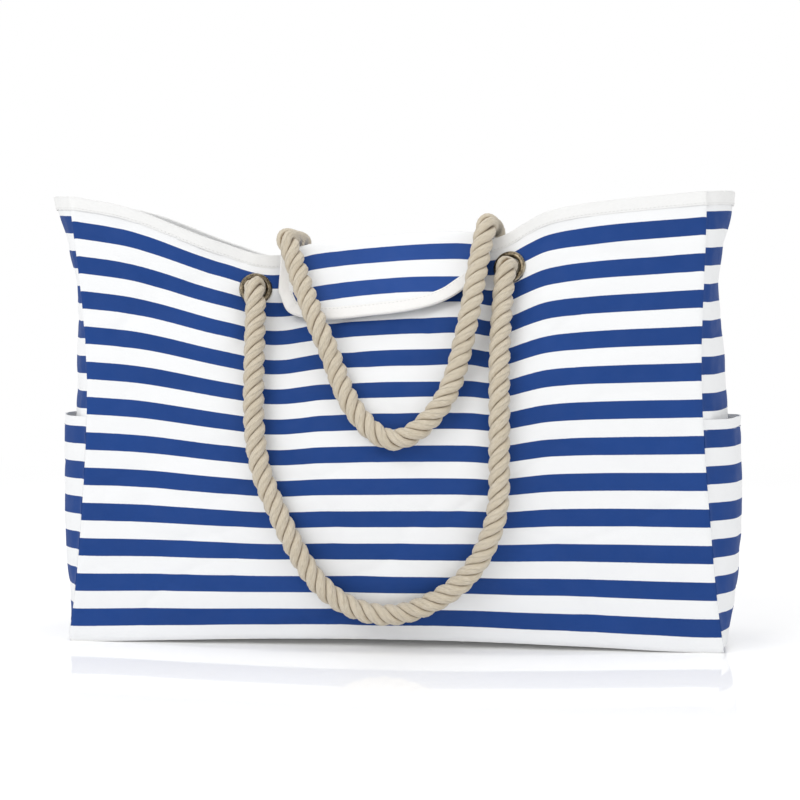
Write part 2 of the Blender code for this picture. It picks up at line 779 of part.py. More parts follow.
def build_bag():
    """Builds every piece of the bag."""
    stripes = new_material("striped_canvas", (0.44, 0.50, 0.64), 0.75)
    white = new_material("white_canvas", (0.86, 0.86, 0.85), 0.8)
    tape = new_material("binding_tape", (0.76, 0.76, 0.75), 0.8)
    rope = new_material("cotton_rope", (0.62, 0.54, 0.42), 0.9)
    metal = new_material("antique_metal", (0.16, 0.13, 0.09), 0.35, 1.0)
    build_base(white)
    build_panel("front_panel", -1, stripes)
    build_panel("back_panel", 1, stripes)
    for label, side in (("left", -1), ("right", 1)):
        build_gusset(f"{label}_gusset", side, stripes)
        build_pocket(f"{label}_pocket", side, stripes)
    add_tape("rim_tape", rim_stations(), True, TAPE_WIDTH, tape)
    for wall, face in (("front", -1), ("back", 1)):
        for label, (centre, normal) in zip(("left", "right"), eyelet_planes(face)):
            build_eyelet(f"{wall}_{label}", centre, normal, metal)
            build_knot(f"{wall}_{label}", centre, normal, rope)
    build_front_handle(rope)
    build_back_handle(rope)
    build_flap(stripes, tape, metal)


clear_scene()
BAG = new_collection("beach_bag")
CUTTERS = new_collection("cutters")
build_bag()
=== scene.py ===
"""Looks of the striped canvas beach bag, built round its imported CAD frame.

Lengths are in metres in the frame of the CAD: +X right seen from the front, +Y from the front
panel to the back panel, +Z up.  Shapes are read off the CAD nodes, so each piece sits in its place.
A station is an (edge point, inward way, outward way) triple along the edge of some cloth.
"""

import json
import math

import bmesh
import bpy
import numpy as np
from mathutils import Matrix, Vector, noise


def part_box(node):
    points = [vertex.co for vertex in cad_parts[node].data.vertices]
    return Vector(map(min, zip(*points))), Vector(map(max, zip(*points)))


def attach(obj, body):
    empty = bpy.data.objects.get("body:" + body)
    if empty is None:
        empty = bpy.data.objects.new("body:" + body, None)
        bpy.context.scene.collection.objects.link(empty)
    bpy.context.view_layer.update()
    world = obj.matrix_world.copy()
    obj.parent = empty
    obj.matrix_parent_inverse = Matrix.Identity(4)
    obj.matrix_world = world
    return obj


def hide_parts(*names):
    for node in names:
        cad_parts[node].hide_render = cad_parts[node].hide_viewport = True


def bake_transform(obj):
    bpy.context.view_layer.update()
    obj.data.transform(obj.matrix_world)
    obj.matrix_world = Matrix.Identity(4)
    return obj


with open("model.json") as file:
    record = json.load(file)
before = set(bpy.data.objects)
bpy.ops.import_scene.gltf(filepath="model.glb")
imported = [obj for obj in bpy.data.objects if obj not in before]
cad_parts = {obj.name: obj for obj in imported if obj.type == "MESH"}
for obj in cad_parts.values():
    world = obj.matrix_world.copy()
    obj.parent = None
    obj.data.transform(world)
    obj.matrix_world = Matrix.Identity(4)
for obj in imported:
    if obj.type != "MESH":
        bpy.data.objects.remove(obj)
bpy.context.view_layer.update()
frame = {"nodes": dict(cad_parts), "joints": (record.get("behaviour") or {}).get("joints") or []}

TURN = 2 * math.pi
LABELS = ("left", "right")
FACES = {-1: "front", 1: "back"}

# Cloth
CLOTH = 0.0011
CLOTH_STEP = 0.0034
SEAM_PULL = 0.0022
SEAM_CURL = 0.0016
SEAM_CURL_REACH = 0.0045
WALL_HEIGHT = 0.384
FLOOR_GAP = 0.0008
BOTTOM_ARCH = {-1: 0.0065, 1: 0.0035}
ARCH_HALF = 0.262
PANEL_SEED = {-1: 11.3, 1: 47.9}
HOLE_R = 0.0118
EYELET_CALM = 0.017

# Stripes, measured up the cloth
STRIPE_PITCH = 0.03047
STRIPE_BLUE = 0.0152
STRIPE_FIRST = 0.0205
GUSSET_STRIPE_SHIFT = 0.0050
RIM_FOLLOW = 1.65

# Pockets and base
POCKET_GAP = 0.0013
POCKET_HEM = 0.009
BASE_STEP = 0.006
BASE_LIFT_REACH = 0.045

# Rope
ROPE_R = 0.0090
ROPE_LAY = 0.037
STRANDS = 3
STRAND_OFFSET = 0.0050
STRAND_R = 0.0042
STRAND_FLAT = 1.02
YARN_LAY = 0.026
ROPE_AROUND = 36
ROPE_STEP = 0.0022
ROPE_PIVOT_OUT = 0.0128
ROPE_MOUTH = 0.0045
ROPE_CORNER = 0.0115
ROPE_REST = 0.0036
ROPE_PERCH = {"left": (-0.0035, 0.0, 0.0035), "right": (0.0014, 0.0, 0.0018)}
NECK_DEPTHS = (-0.0100, -0.0060, -0.0020, 0.0030)
KNOT_DEPTH = 0.0195
KNOT_SIZE = 0.0040
KNOT_RISE = 0.0062

# Binding
TAPE_WIDTH = 0.011
FLAP_TAPE_WIDTH = 0.010
TAPE_THICKNESS = 0.0009
TAPE_CLEARANCE = 0.0002
TAPE_TOP = CLOTH / 2 + TAPE_CLEARANCE + TAPE_THICKNESS
STITCH_PITCH = 0.0034
STITCH_LENGTH = 0.0024
STITCH_R = 0.00032
STITCH_IN = 0.0018
STITCH_AROUND = 6
STITCH_RINGS = (-0.5, -0.42, -0.25, 0.0, 0.25, 0.42, 0.5)

# Flap
FLAP_STRIPE_FIRST = -0.0190
FLAP_STRIPE_PITCH = 0.0318
FLAP_REST = 0.0018
FLAP_COLUMNS = 73
FLAP_ROWS = (26, 44)
FLAP_OUTWARD = ((0, 1, 1), (0, -1, 1))
FLAP_TAPE_START = 9
FOLD_R = 0.0050

# Metal
ROLL_R = 0.0021
EYELET_CROWN = 0.0022
EYELET_TUBE = 0.0016

# Floor, light and camera
FLOOR_HALF = 9.0
FLOOR_MIRROR = 0.25
FLOOR_MIRROR_START = 0.09
FLOOR_MIRROR_END = 0.62
FLOOR_LIFT = 0.12
FLOOR_GLOSS_ROUGHNESS = 0.04
FLOOR_FADE_START = 0.9
FLOOR_FADE_END = 2.4
DOME_LIGHT = 0.70
LIGHTS = (
    ("key", (-1.6, -2.4, 2.4), (2.2, 1.6), 33.0, (0, 0, 0.18)),
    ("fill", (2.2, -2.2, 1.3), (2.0, 1.6), 8.5, (0, 0, 0.18)),
    ("top", (0.0, 0.2, 2.6), (2.6, 2.0), 15.0, (0, 0, 0.2)),
)
CAMERA_AZIMUTH = 6.68
CAMERA_HEIGHT = 0.2691
CAMERA_DISTANCE = 1.70
CAMERA_TARGET_Z = 0.2068
CAMERA_LENS = 86.8
WHITE = (1.0, 1.0, 1.0, 1.0)


# ---------------- numbers


def unit(vectors):
    """Vectors in the last axis of an array, made one long."""
    return vectors / np.linalg.norm(vectors, axis=-1, keepdims=True)


def run_length(points):
    """Length along a line of points, at each point."""
    return np.concatenate([[0], np.cumsum(np.linalg.norm(np.diff(points, axis=0), axis=1))])


def rows_at(where, known, rows):
    """Rows of three numbers at some places, read between the rows at known places."""
    return np.stack([np.interp(where, known, rows[:, k]) for k in range(3)], axis=-1)


def smooth(t):
    """Smooth step from 0 to 1."""
    t = np.clip(t, 0.0, 1.0)
    return t * t * (3 - 2 * t)


def waves(x, z, seed, pitch_x, pitch_z):
    """Smooth noise over arrays of places, about -1 to 1."""
    places_xz = zip(np.ravel(x), np.ravel(z))
    flat = [noise.noise(Vector((a / pitch_x, b / pitch_z, seed))) for a, b in places_xz]
    return np.array(flat).reshape(np.shape(x)) * 1.6


def creases(x, z, seed, pitch_x, pitch_z):
    """Narrow valleys between broad flats, 0 to 1."""
    return np.clip(1 - np.abs(waves(x, z, seed, pitch_x, pitch_z)) * 3.0, 0, 1) ** 2


def places(length, step=CLOTH_STEP):
    """Places from 0 to 1 along a length, even but closer together at both ends."""
    ends = np.array((0.0, 0.0006, 0.0013, 0.0022, 0.0033, 0.0048)) / length
    count = max(int(round(length * (1 - 2 * ends[-1]) / step)), 2)
    middle = np.linspace(ends[-1], 1 - ends[-1], count + 1)
    return np.unique(np.round(np.concatenate([ends, middle, 1 - ends]), 9))


def blended(first, last, low, high, t):
    """Value at t on the line through first at low and last at high."""
    return (high - t) / (high - low) * first + (t - low) / (high - low) * last


def even_path(points, step):
    """Points at even steps along a smooth curve through the given points."""
    nodes = np.array([tuple(p) for p in points])
    nodes = np.vstack([2 * nodes[0] - nodes[1], nodes, 2 * nodes[-1] - nodes[-2]])
    fine = []
    for i in range(len(nodes) - 3):
        near = nodes[i:i + 4]
        gaps = np.linalg.norm(np.diff(near, axis=0), axis=1)
        knots = np.concatenate([[0], np.cumsum(np.maximum(gaps, 1e-6) ** 0.5)])
        count = max(int(gaps[1] / 0.0004), 4)
        t = np.linspace(knots[1], knots[2], count, endpoint=False)[:, None]
        lines = [blended(near[k], near[k + 1], knots[k], knots[k + 1], t) for k in range(3)]
        bends = [blended(lines[k], lines[k + 1], knots[k], knots[k + 2], t) for k in range(2)]
        fine.extend(blended(*bends, knots[1], knots[2], t))
    fine = np.array(fine + [nodes[-2]])
    run = run_length(fine)
    even = np.linspace(0, run[-1], max(int(round(run[-1] / step)), 2) + 1)
    return rows_at(even, run, fine)


# ---------------- reading the CAD


def node_points(name):
    """The distinct vertices of a CAD node."""
    mesh = frame["nodes"][name].data
    points = np.empty(len(mesh.vertices) * 3)
    mesh.vertices.foreach_get("co", points)
    return np.unique(np.round(points.reshape(-1, 3), 5), axis=0)


def kernel(squares):
    """Thin plate kernel of squared distances."""
    return 0.5 * squares * np.log(squares + 1e-12)


class Fit:
    """Smooth middle surface of a thin CAD sheet: one coordinate as a function of two others."""

    unit = 0.1
    softness = 1e-3

    def __init__(self, points, across, up, height):
        self.sites = points[:, [across, up]] / self.unit
        apart = self.sites[:, None, :] - self.sites[None, :, :]
        count = len(self.sites)
        plane = np.column_stack([np.ones(count), self.sites])
        system = np.zeros((count + 3, count + 3))
        system[:count, :count] = kernel((apart ** 2).sum(2)) + self.softness * np.eye(count)
        system[:count, count:] = plane
        system[count:, :count] = plane.T
        self.weights = np.linalg.solve(system, np.append(points[:, height], np.zeros(3)))

    def __call__(self, across, up):
        sites = np.column_stack([np.ravel(across), np.ravel(up)]) / self.unit
        values = []
        for part in np.array_split(sites, len(sites) // 4096 + 1):
            apart = part[:, None, :] - self.sites[None, :, :]
            plane = np.column_stack([np.ones(len(part)), part])
            bent = kernel((apart ** 2).sum(2)) @ self.weights[:-3]
            values.append(bent + plane @ self.weights[-3:])
        return np.concatenate(values).reshape(np.shape(across))

    def at(self, across, up):
        """The value at one place."""
        return float(self(np.array([across]), np.array([up]))[0])


def edge_curve(points, along, out, side, reach=0.012, margin=0.004):
    """Points (along, out) of a sheet's outline on one side, in order, the two skins averaged."""
    near = np.abs(points[:, None, along] - points[None, :, along]) < reach
    further = side * (points[None, :, out] - points[:, None, out]) > margin
    edge = points[~(near & further).any(1)]
    edge = edge[np.argsort(edge[:, along])]
    groups = np.split(edge, np.nonzero(np.diff(edge[:, along]) > 0.0035)[0] + 1)
    return np.array([[g[:, along].mean(), g[:, out].mean()] for g in groups])


def along_curve(curve, where):
    """Smooth values of a curve of (place, value) rows at some places, held at the ends."""
    xs, ys = curve[:, 0], curve[:, 1]
    where = np.clip(where, xs[0], xs[-1])
    slopes = np.diff(ys) / np.diff(xs)
    tangents = np.concatenate([[slopes[0]], (slopes[1:] + slopes[:-1]) / 2, [slopes[-1]]])
    i = np.clip(np.searchsorted(xs, where, side="right") - 1, 0, len(slopes) - 1)
    span = xs[i + 1] - xs[i]
    t = (where - xs[i]) / span
    rise = (1 + 2 * t) * (1 - t) ** 2 * ys[i] + t * t * (3 - 2 * t) * ys[i + 1]
    return rise + span * (t * (1 - t) ** 2 * tangents[i] - t * t * (1 - t) * tangents[i + 1])


def disc_frame(name):
    """Centre and unit axis of a flat round CAD node, the axis pointing away from the bag."""
    points = node_points(name)
    low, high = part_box(name)
    centre = (low + high) / 2
    _, _, axes = np.linalg.svd(points - points.mean(0), full_matrices=False)
    return Vector(centre), Vector(axes[2] * np.sign(axes[2][1] * centre[1]))


def joint(name):
    """A joint of the record: its point and unit axis."""
    found = next(j for j in frame["joints"] if j["name"] == name)
    return Vector(found["pos_m"]), Vector(found["axis"]).normalized()


# ---------------- meshes


def add_mesh(name, points, faces, materials, coords=None, slots=None):
    """A mesh; coords are cloth coordinates in metres for each vertex, slots a material per face."""
    mesh = bpy.data.meshes.new(name)
    mesh.from_pydata([tuple(map(float, p)) for p in points], [], [tuple(map(int, f)) for f in faces])
    for material in materials:
        mesh.materials.append(material)
    if slots is not None:
        mesh.polygons.foreach_set("material_index", np.array(slots, dtype=np.int32))
    mesh.polygons.foreach_set("use_smooth", np.full(len(mesh.polygons), True))
    if coords is not None:
        layer = mesh.uv_layers.new(name="cloth")
        loops = np.empty(len(mesh.loops), dtype=np.int32)
        mesh.loops.foreach_get("vertex_index", loops)
        layer.data.foreach_set("uv", np.asarray(coords, dtype=np.float32)[loops].ravel())
    mesh.update()
    obj = bpy.data.objects.new(name, mesh)
    bpy.context.scene.collection.objects.link(obj)
    return obj


def shade(obj, degrees, turn_out=True, weld=0.0):
    """Keeps edges sharper than an angle; turns faces outwards and welds vertices when asked."""
    bm = bmesh.new()
    bm.from_mesh(obj.data)
    if weld:
        bmesh.ops.remove_doubles(bm, verts=bm.verts, dist=weld)
    if turn_out:
        bmesh.ops.recalc_face_normals(bm, faces=bm.faces)
    for edge in bm.edges:
        soft = edge.calc_face_angle(0.0) < math.radians(degrees)
        edge.smooth = len(edge.link_faces) == 2 and soft
    bm.to_mesh(obj.data)
    bm.free()


def settle(obj, body, slot, *nodes):
    """Makes a piece ride on a body and stand for CAD nodes, which it hides; the slot is not used."""
    if body:
        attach(obj, body)
    if nodes:
        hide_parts(*nodes)


def bend(obj, parent, child, name, direction, before, after):
    """Bakes a piece's placement into its mesh; it reads the joint and the direction but sets up no
    bending, and the two bodies are not used.
    """
    point, axis = joint(name)
    way = Vector(direction)
    way = (way - axis * way.dot(axis)).normalized()
    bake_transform(obj)


def grid_faces(rows, columns, join_rows=False, join_columns=False, start=0):
    """Quads of a grid of vertices, its last row or column joined to the first when asked."""
    faces = []
    for r in range(rows if join_rows else rows - 1):
        low, high = start + r * columns, start + (r + 1) % rows * columns
        for c in range(columns if join_columns else columns - 1):
            d = (c + 1) % columns
            faces.append((low + c, low + d, high + d, high + c))
    return faces


def tube_faces(rings, around, start=0):
    """Faces of a run of rings of vertices, closed at both ends."""
    last = start + (rings - 1) * around
    ends = [tuple(range(start + around - 1, start - 1, -1)), tuple(range(last, last + around))]
    return grid_faces(rings, around, join_columns=True, start=start) + ends


def grid_normals(grid, outward):
    """Unit normals of a grid of points, turned to the side of the outward direction."""
    normals = np.cross(np.gradient(grid, axis=1), np.gradient(grid, axis=0))
    normals /= np.linalg.norm(normals, axis=2, keepdims=True) + 1e-12
    side = np.sign((normals * np.array(outward)).sum(2).mean())
    return normals * side, side


def cut_holes(points, normals, holes):
    """Which points stay and which lie on the edge of a hole, those moved exactly onto it."""
    keep = np.ones(len(points), bool)
    on_edge = np.zeros(len(points), bool)
    for centre, radius in holes:
        spread = points - np.array(centre)
        depth = (spread * normals).sum(1)
        flat = spread - normals * depth[:, None]
        away = np.linalg.norm(flat, axis=1)
        inside = (away < radius) & (np.abs(depth) < 0.02)
        deep = inside & (away < radius - 0.8 * CLOTH_STEP)
        rim = inside & ~deep
        points[rim] += flat[rim] / away[rim][:, None] * (radius - away[rim])[:, None]
        keep[deep] = False
        on_edge |= rim
    return keep, on_edge


def add_cloth(name, grid, coords, outward, materials, holes=(), thickness=CLOTH):
    """A closed cloth solid from a grid of middle points; holes are (centre, radius) of eyelets."""
    normals, side = grid_normals(grid, outward)
    normals = normals.reshape(-1, 3)
    points = grid.reshape(-1, 3).copy()
    keep, on_edge = cut_holes(points, normals, holes)
    quads = [
        quad if side > 0 else quad[::-1] for quad in grid_faces(*grid.shape[:2])
        if all(keep[i] for i in quad) and not all(on_edge[i] for i in quad)
    ]
    used = dict.fromkeys(pair for quad in quads for pair in zip(quad, quad[1:] + quad[:1]))
    border = [(a, b) for a, b in used if (b, a) not in used]
    count = len(points)
    faces = quads + [tuple(i + count for i in reversed(quad)) for quad in quads]
    faces += [(b, a, a + count, b + count) for a, b in border]
    slots = [0] * len(quads) + [1] * len(quads) + [0] * len(border)
    skins = [points + normals * thickness / 2, points - normals * thickness / 2]
    alive = np.zeros(2 * count, bool)
    alive[[i for face in faces for i in face]] = True
    index = np.cumsum(alive) - 1
    faces = [tuple(index[i] for i in face) for face in faces]
    coords = np.tile(coords.reshape(-1, 2), (2, 1))
    obj = add_mesh(name, np.concatenate(skins)[alive], faces, materials, coords[alive], slots)
    shade(obj, 50, turn_out=False)
    return obj


# ---------------- walls of the bag


def arch(x, face):
    """How far the bottom edge of a panel is lifted off the floor."""
    return BOTTOM_ARCH[face] * np.clip(1 - (x / ARCH_HALF) ** 2, 0, 1) ** 1.3


def wall_relief(x, z, to_seam, to_rim, to_floor, seed):
    """Dents, creases and seam puckers of hanging canvas, in metres outwards."""
    dents = 0.0014 * waves(x, z, seed, 0.120, 0.070) + 0.0008 * waves(x, z, seed + 7, 0.050, 0.034)
    folds = -0.0015 * creases(x + 0.55 * z, z - 0.3 * x, seed + 13, 0.150, 0.060)
    folds -= 0.0012 * creases(x - 0.8 * z, z + 0.5 * x, seed + 29, 0.110, 0.075)
    pucker = 0.00045 * waves(z * 0.2, z, seed + 3, 0.009, 0.0065) * np.exp(-to_seam / 0.010)
    gather = 0.00040 * waves(x, x * 0.2, seed + 5, 0.0085, 0.009) * np.exp(-to_rim / 0.009)
    tuck = 0.0012 * waves(x, x * 0.1, seed + 17, 0.040, 0.05) * np.exp(-to_floor / 0.012)
    calm = smooth(to_seam / 0.02) * smooth((to_rim - 0.004) / 0.02) * smooth(to_floor / 0.02)
    return (dents + folds) * calm + pucker + gather + tuck


def curl(distance):
    """How far a seamed edge turns in, at a distance from the seam."""
    return SEAM_CURL * np.clip(1 - distance / SEAM_CURL_REACH, 0, 1) ** 2


class Wall:
    """A panel (face -1 or 1) as a grid of middle points with cloth coordinates."""

    def __init__(self, face):
        points = node_points(f"{FACES[face]}_panel")
        self.left = edge_curve(points, 2, 0, -1)
        self.right = edge_curve(points, 2, 0, 1)
        self.rim = edge_curve(points, 0, 2, 1, reach=0.0085, margin=0.003)
        self.floor = points[:, 2].min()
        self.top = self.left[-1][0]
        width = self.right[0][1] - self.left[0][1]
        v, u = np.meshgrid(places(self.top - self.floor), places(width), indexing="ij")
        x, z = self.place(u, v)
        to_seam = np.minimum(u, 1 - u) * width
        to_floor = v * self.top
        relief = wall_relief(x, z, to_seam, (1 - v) * self.top, to_floor, PANEL_SEED[face])
        for label in LABELS:
            centre, _ = disc_frame(f"{FACES[face]}_{label}_eyelet")
            away = np.hypot(x - centre.x, z - centre.z)
            relief = relief * smooth((away - EYELET_CALM) / 0.02)
        relief = np.clip(relief, -0.003, 0.0015) - curl(to_seam) - 1.4 * curl(to_floor)
        lift = arch(x, face) * (1 - v) ** 2
        grid = np.stack([x, Fit(points, 0, 2, 1)(x, z), z + lift], axis=2)
        normals, _ = grid_normals(grid, (0, face, 0))
        self.grid = grid + normals * relief[..., None]
        self.grid[:, [0, -1], 0] = x[:, [0, -1]]
        self.grid[..., 2] = np.maximum(self.grid[..., 2], FLOOR_GAP)
        self.coords = np.stack([(u - 0.5) * width, v * WALL_HEIGHT], axis=2)

    def place(self, u, v):
        """x and z of the panel at shares across and up."""
        edge_z = self.floor + v * (self.top - self.floor)
        left = along_curve(self.left, edge_z) - SEAM_PULL
        right = along_curve(self.right, edge_z) + SEAM_PULL
        top_left = self.left[-1][1] - SEAM_PULL
        top_right = self.right[-1][1] + SEAM_PULL
        rim = along_curve(self.rim, top_left + (top_right - top_left) * u)
        return left + (right - left) * u, edge_z - (self.top - rim) * v ** RIM_FOLLOW


class Side:
    """A gusset (side -1 or 1), or the pocket on it, as a grid of middle points."""

    def __init__(self, side, walls):
        self.side = side
        points = node_points(f"{LABELS[side > 0]}_gusset")
        self.out = Fit(points, 1, 2, 0)
        rim = edge_curve(points, 1, 2, 1, reach=0.004, margin=0.003)
        self.rim = rim[rim[:, 1] > rim[:, 1].max() - 0.010]
        column = -1 if side > 0 else 0
        self.seams = [walls[face].grid[:, column] for face in (-1, 1)]
        self.shares = [walls[face].coords[:, column, 1] / WALL_HEIGHT for face in (-1, 1)]
        self.floor = points[:, 2].min()
        self.top = self.rim[:, 1].max()

    def grid(self, low, high, stand_off, seed):
        """Grid and cloth coordinates between two shares of the height."""
        depth = abs(self.seams[1][0][1] - self.seams[0][0][1])
        height = low + (high - low) * places((high - low) * self.top)
        v, w = np.meshgrid(height, places(depth), indexing="ij")
        front, back = (rows_at(v, share, line) for share, line in zip(self.shares, self.seams))
        x, y, z = np.moveaxis(front + (back - front) * w[..., None], 2, 0)
        z = z + np.interp(y, self.rim[:, 0], self.rim[:, 1] - self.rim[:, 1].min()) * v
        free = self.out(y, np.clip(z, self.floor, self.top))
        to_seam = np.minimum(w, 1 - w) * depth
        x = x + (free - x) * smooth(to_seam / 0.012)
        relief = wall_relief(y, z, to_seam, (1 - v) * self.top, v * self.top, seed)
        relief = np.clip(relief, -0.002, 0.0012) * 0.8 - curl(to_seam) * 0.6
        x = x + self.side * (relief + stand_off(v, w))
        coords = np.stack([(w - 0.5) * depth, v * WALL_HEIGHT - GUSSET_STRIPE_SHIFT], axis=2)
        return np.stack([x, y, np.maximum(z, FLOOR_GAP)], axis=2), coords


def build_walls(looks):
    """The two panels, the two gussets, the pockets and the base."""
    skins = (looks["stripes"], looks["lining"])
    walls = {face: Wall(face) for face in FACES}
    for face, word in FACES.items():
        holes = [(disc_frame(f"{word}_{label}_eyelet")[0], HOLE_R) for label in LABELS]
        wall = walls[face]
        cloth = add_cloth(f"{word}_panel_cloth", wall.grid, wall.coords, (0, face, 0), skins, holes)
        settle(cloth, "bag", "striped_canvas", f"{word}_panel")
    rims = {}
    for side, word in zip((-1, 1), LABELS):
        gusset = Side(side, walls)
        rims[side], coords = gusset.grid(0.0, 1.0, lambda v, w: 0.0, 71.5 + side)
        cloth = add_cloth(f"{word}_gusset_cloth", rims[side], coords, (side, 0, 0), skins)
        settle(cloth, "bag", "striped_canvas", f"{word}_gusset")
        build_pocket(word, side, gusset, looks)
    build_base(looks)
    return walls, rims


def build_pocket(word, side, gusset, looks):
    """A slip pocket sewn into the side seams, its mouth standing a little open."""
    low_z, high_z = (corner.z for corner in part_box(f"{word}_pocket"))
    low, high = low_z / WALL_HEIGHT, high_z / WALL_HEIGHT
    pocket = Fit(node_points(f"{word}_pocket"), 1, 2, 0)
    levels = (low_z, (low_z + high_z) / 2, high_z)
    gaps = [abs(pocket.at(0.0, z) - gusset.out.at(0.0, z)) for z in levels]

    def stand_off(v, w):
        gap = np.interp((v - low) / (high - low), (0.0, 0.5, 1.0), gaps)
        return POCKET_GAP + (gap - POCKET_GAP) * smooth(np.minimum(w, 1 - w) / 0.22)

    grid, coords = gusset.grid(low, high, stand_off, 83.1 + side)
    skins = (looks["stripes"], looks["lining"])
    cloth = add_cloth(f"{word}_pocket_cloth", grid, coords, (side, 0, 0), skins)
    settle(cloth, "bag", "striped_canvas", f"{word}_pocket")
    down = unit(grid[-4] - grid[-1])
    line = (grid[-1] + down * POCKET_HEM)[2:-2]
    outs = np.full(line.shape, (float(side), 0.0, 0.0))
    stitches = add_stitches(f"{word}_pocket_stitches", line, outs, CLOTH / 2 + 0.0001, looks["thread"])
    settle(stitches, "bag", "striped_canvas")


def build_base(looks):
    """The flat base, its long edges lifted with the arches of the panels."""
    low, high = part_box("bottom_panel")
    size = high - low
    t, s = np.meshgrid(places(size.y, BASE_STEP), places(size.x, BASE_STEP), indexing="ij")
    x = low.x + size.x * s
    y = low.y + size.y * t
    front = arch(x, -1) * smooth((low.y + BASE_LIFT_REACH - y) / BASE_LIFT_REACH)
    back = arch(x, 1) * smooth((y - high.y + BASE_LIFT_REACH) / BASE_LIFT_REACH)
    grid = np.stack([x, y, size.z / 2 + front + back], axis=2)
    skins = (looks["base"], looks["lining"])
    base = add_cloth("base_cloth", grid, grid[..., :2], (0, 0, -1), skins, thickness=size.z)
    settle(base, "bag", "base_canvas", "bottom_panel")


# ---------------- tapes and stitches


def add_stitches(name, line, sides, lift, thread):
    """A row of short thread stitches along a line, standing on one side of the cloth."""
    run = run_length(line)
    count = int(run[-1] / STITCH_PITCH)
    rings = len(STITCH_RINGS)
    vertices, faces, coords = [], [], []
    for k in range(count):
        middle = (k + 0.5) * run[-1] / count
        faces += tube_faces(rings, STITCH_AROUND, len(vertices))
        at = rows_at(middle + np.array(STITCH_RINGS) * STITCH_LENGTH, run, line)
        out = unit(rows_at(middle, run, sides))
        side = unit(np.cross(at[-1] - at[0], out))
        for e, place in zip(STITCH_RINGS, at):
            round_end = (2 * e) ** 4
            radius = STITCH_R * math.sqrt(max(1 - round_end, 0.02))
            place = place + out * (lift - STITCH_R * 0.9 * round_end)
            for j in range(STITCH_AROUND):
                angle = TURN * j / STITCH_AROUND
                vertices.append(place + (out * math.sin(angle) + side * math.cos(angle)) * radius)
                coords.append((middle, j / STITCH_AROUND * 0.002))
    return add_mesh(name, vertices, faces, [thread], coords)


def tape_profile(width):
    """Half-round folded section of a binding tape: (out, in) pairs round the closed outline."""
    inner = CLOTH / 2 + TAPE_CLEARANCE
    outer = inner + TAPE_THICKNESS
    half = [(outer - 0.0002, width), (outer, width - 0.0004), (outer + 0.00012, width * 0.72)]
    half += [(outer - 0.0001, width * 0.42), (outer, 0.0012)]
    fold = [
        (outer * math.cos(angle), -outer * 0.75 * math.sin(angle))
        for angle in np.linspace(0, math.pi, 9)
    ]
    inside = [(-inner, width), (-inner, 0.0), (-inner * 0.5, -TAPE_CLEARANCE)]
    inside += [(-out, height) for out, height in reversed(inside)]
    return half + fold + [(-out, height) for out, height in reversed(half)] + inside


def add_tape(name, stations, closed, width, material, seed):
    """Binding tape lofted round an edge, through the stations of that edge."""
    profile = tape_profile(width)
    size, rings = len(profile), len(stations)
    vertices, coords = [], []
    for run, (point, inward, out) in zip(run_length(stations[:, 0]), stations):
        ripple = 1 + 0.05 * noise.noise(Vector((run * 60, seed, 0)))
        for j, (a, b) in enumerate(profile):
            swell = 0.00018 * noise.noise(Vector((run * 240, b * 300, seed + 5)))
            vertices.append(point + out * (a + math.copysign(swell, a)) + inward * b * ripple)
            coords.append((run, j / size * 2.4 * width))
    faces = grid_faces(rings, size, True, True) if closed else tube_faces(rings, size)
    obj = add_mesh(name, vertices, faces, [material], coords)
    shade(obj, 55)
    return obj


def grid_stations(grid, outward, below=-5):
    """Stations along the top row of a grid."""
    normals, _ = grid_normals(grid, outward)
    return np.stack([grid[-1], unit(grid[below] - grid[-1]), normals[below]], axis=1)


def smoothed_stations(stations, rounds):
    """Closed stations, each averaged with its neighbours."""
    for _ in range(rounds):
        beside = np.roll(stations, 1, axis=0) + np.roll(stations, -1, axis=0)
        points = (beside[:, :1] + 4 * stations[:, :1]) / 6
        ways = unit(beside[:, 1:] + 2 * stations[:, 1:])
        stations = np.concatenate([points, ways], axis=1)
    return stations


def spaced_stations(stations, step):
    """Stations at even steps along their line, with averaged directions."""
    run = run_length(stations[:, 0])
    even = np.linspace(0, run[-1], int(run[-1] / step) + 1)
    points, ins, outs = (rows_at(even, run, stations[:, k]) for k in range(3))
    near = [slice(max(i - 2, 0), i + 3) for i in range(len(even))]
    ins, outs = (unit(np.array([ways[part].mean(0) for part in near])) for ways in (ins, outs))
    return np.stack([points, ins, outs], axis=1)


def build_rim(walls, rims, looks):
    """The binding round the whole rim, with its row of stitches outside and inside."""
    edges = [
        grid_stations(walls[-1].grid, (0, -1, 0)), grid_stations(rims[1], (1, 0, 0)),
        grid_stations(walls[1].grid, (0, 1, 0))[::-1], grid_stations(rims[-1], (-1, 0, 0))[::-1],
    ]
    stations = smoothed_stations(np.concatenate([edge[:-1] for edge in edges]), 2)
    tape = add_tape("rim_binding", stations, True, TAPE_WIDTH, looks["tape"], 3.0)
    settle(tape, "bag", "binding_tape", "rim_tape")
    points, ins, outs = np.moveaxis(np.concatenate([stations, stations[:1]]), 1, 0)
    line = points + ins * (TAPE_WIDTH - STITCH_IN)
    for word, way in (("outer", 1), ("inner", -1)):
        stitches = add_stitches(f"rim_stitches_{word}", line, outs * way, TAPE_TOP, looks["thread"])
        settle(stitches, "bag", "binding_tape")


# ---------------- ropes


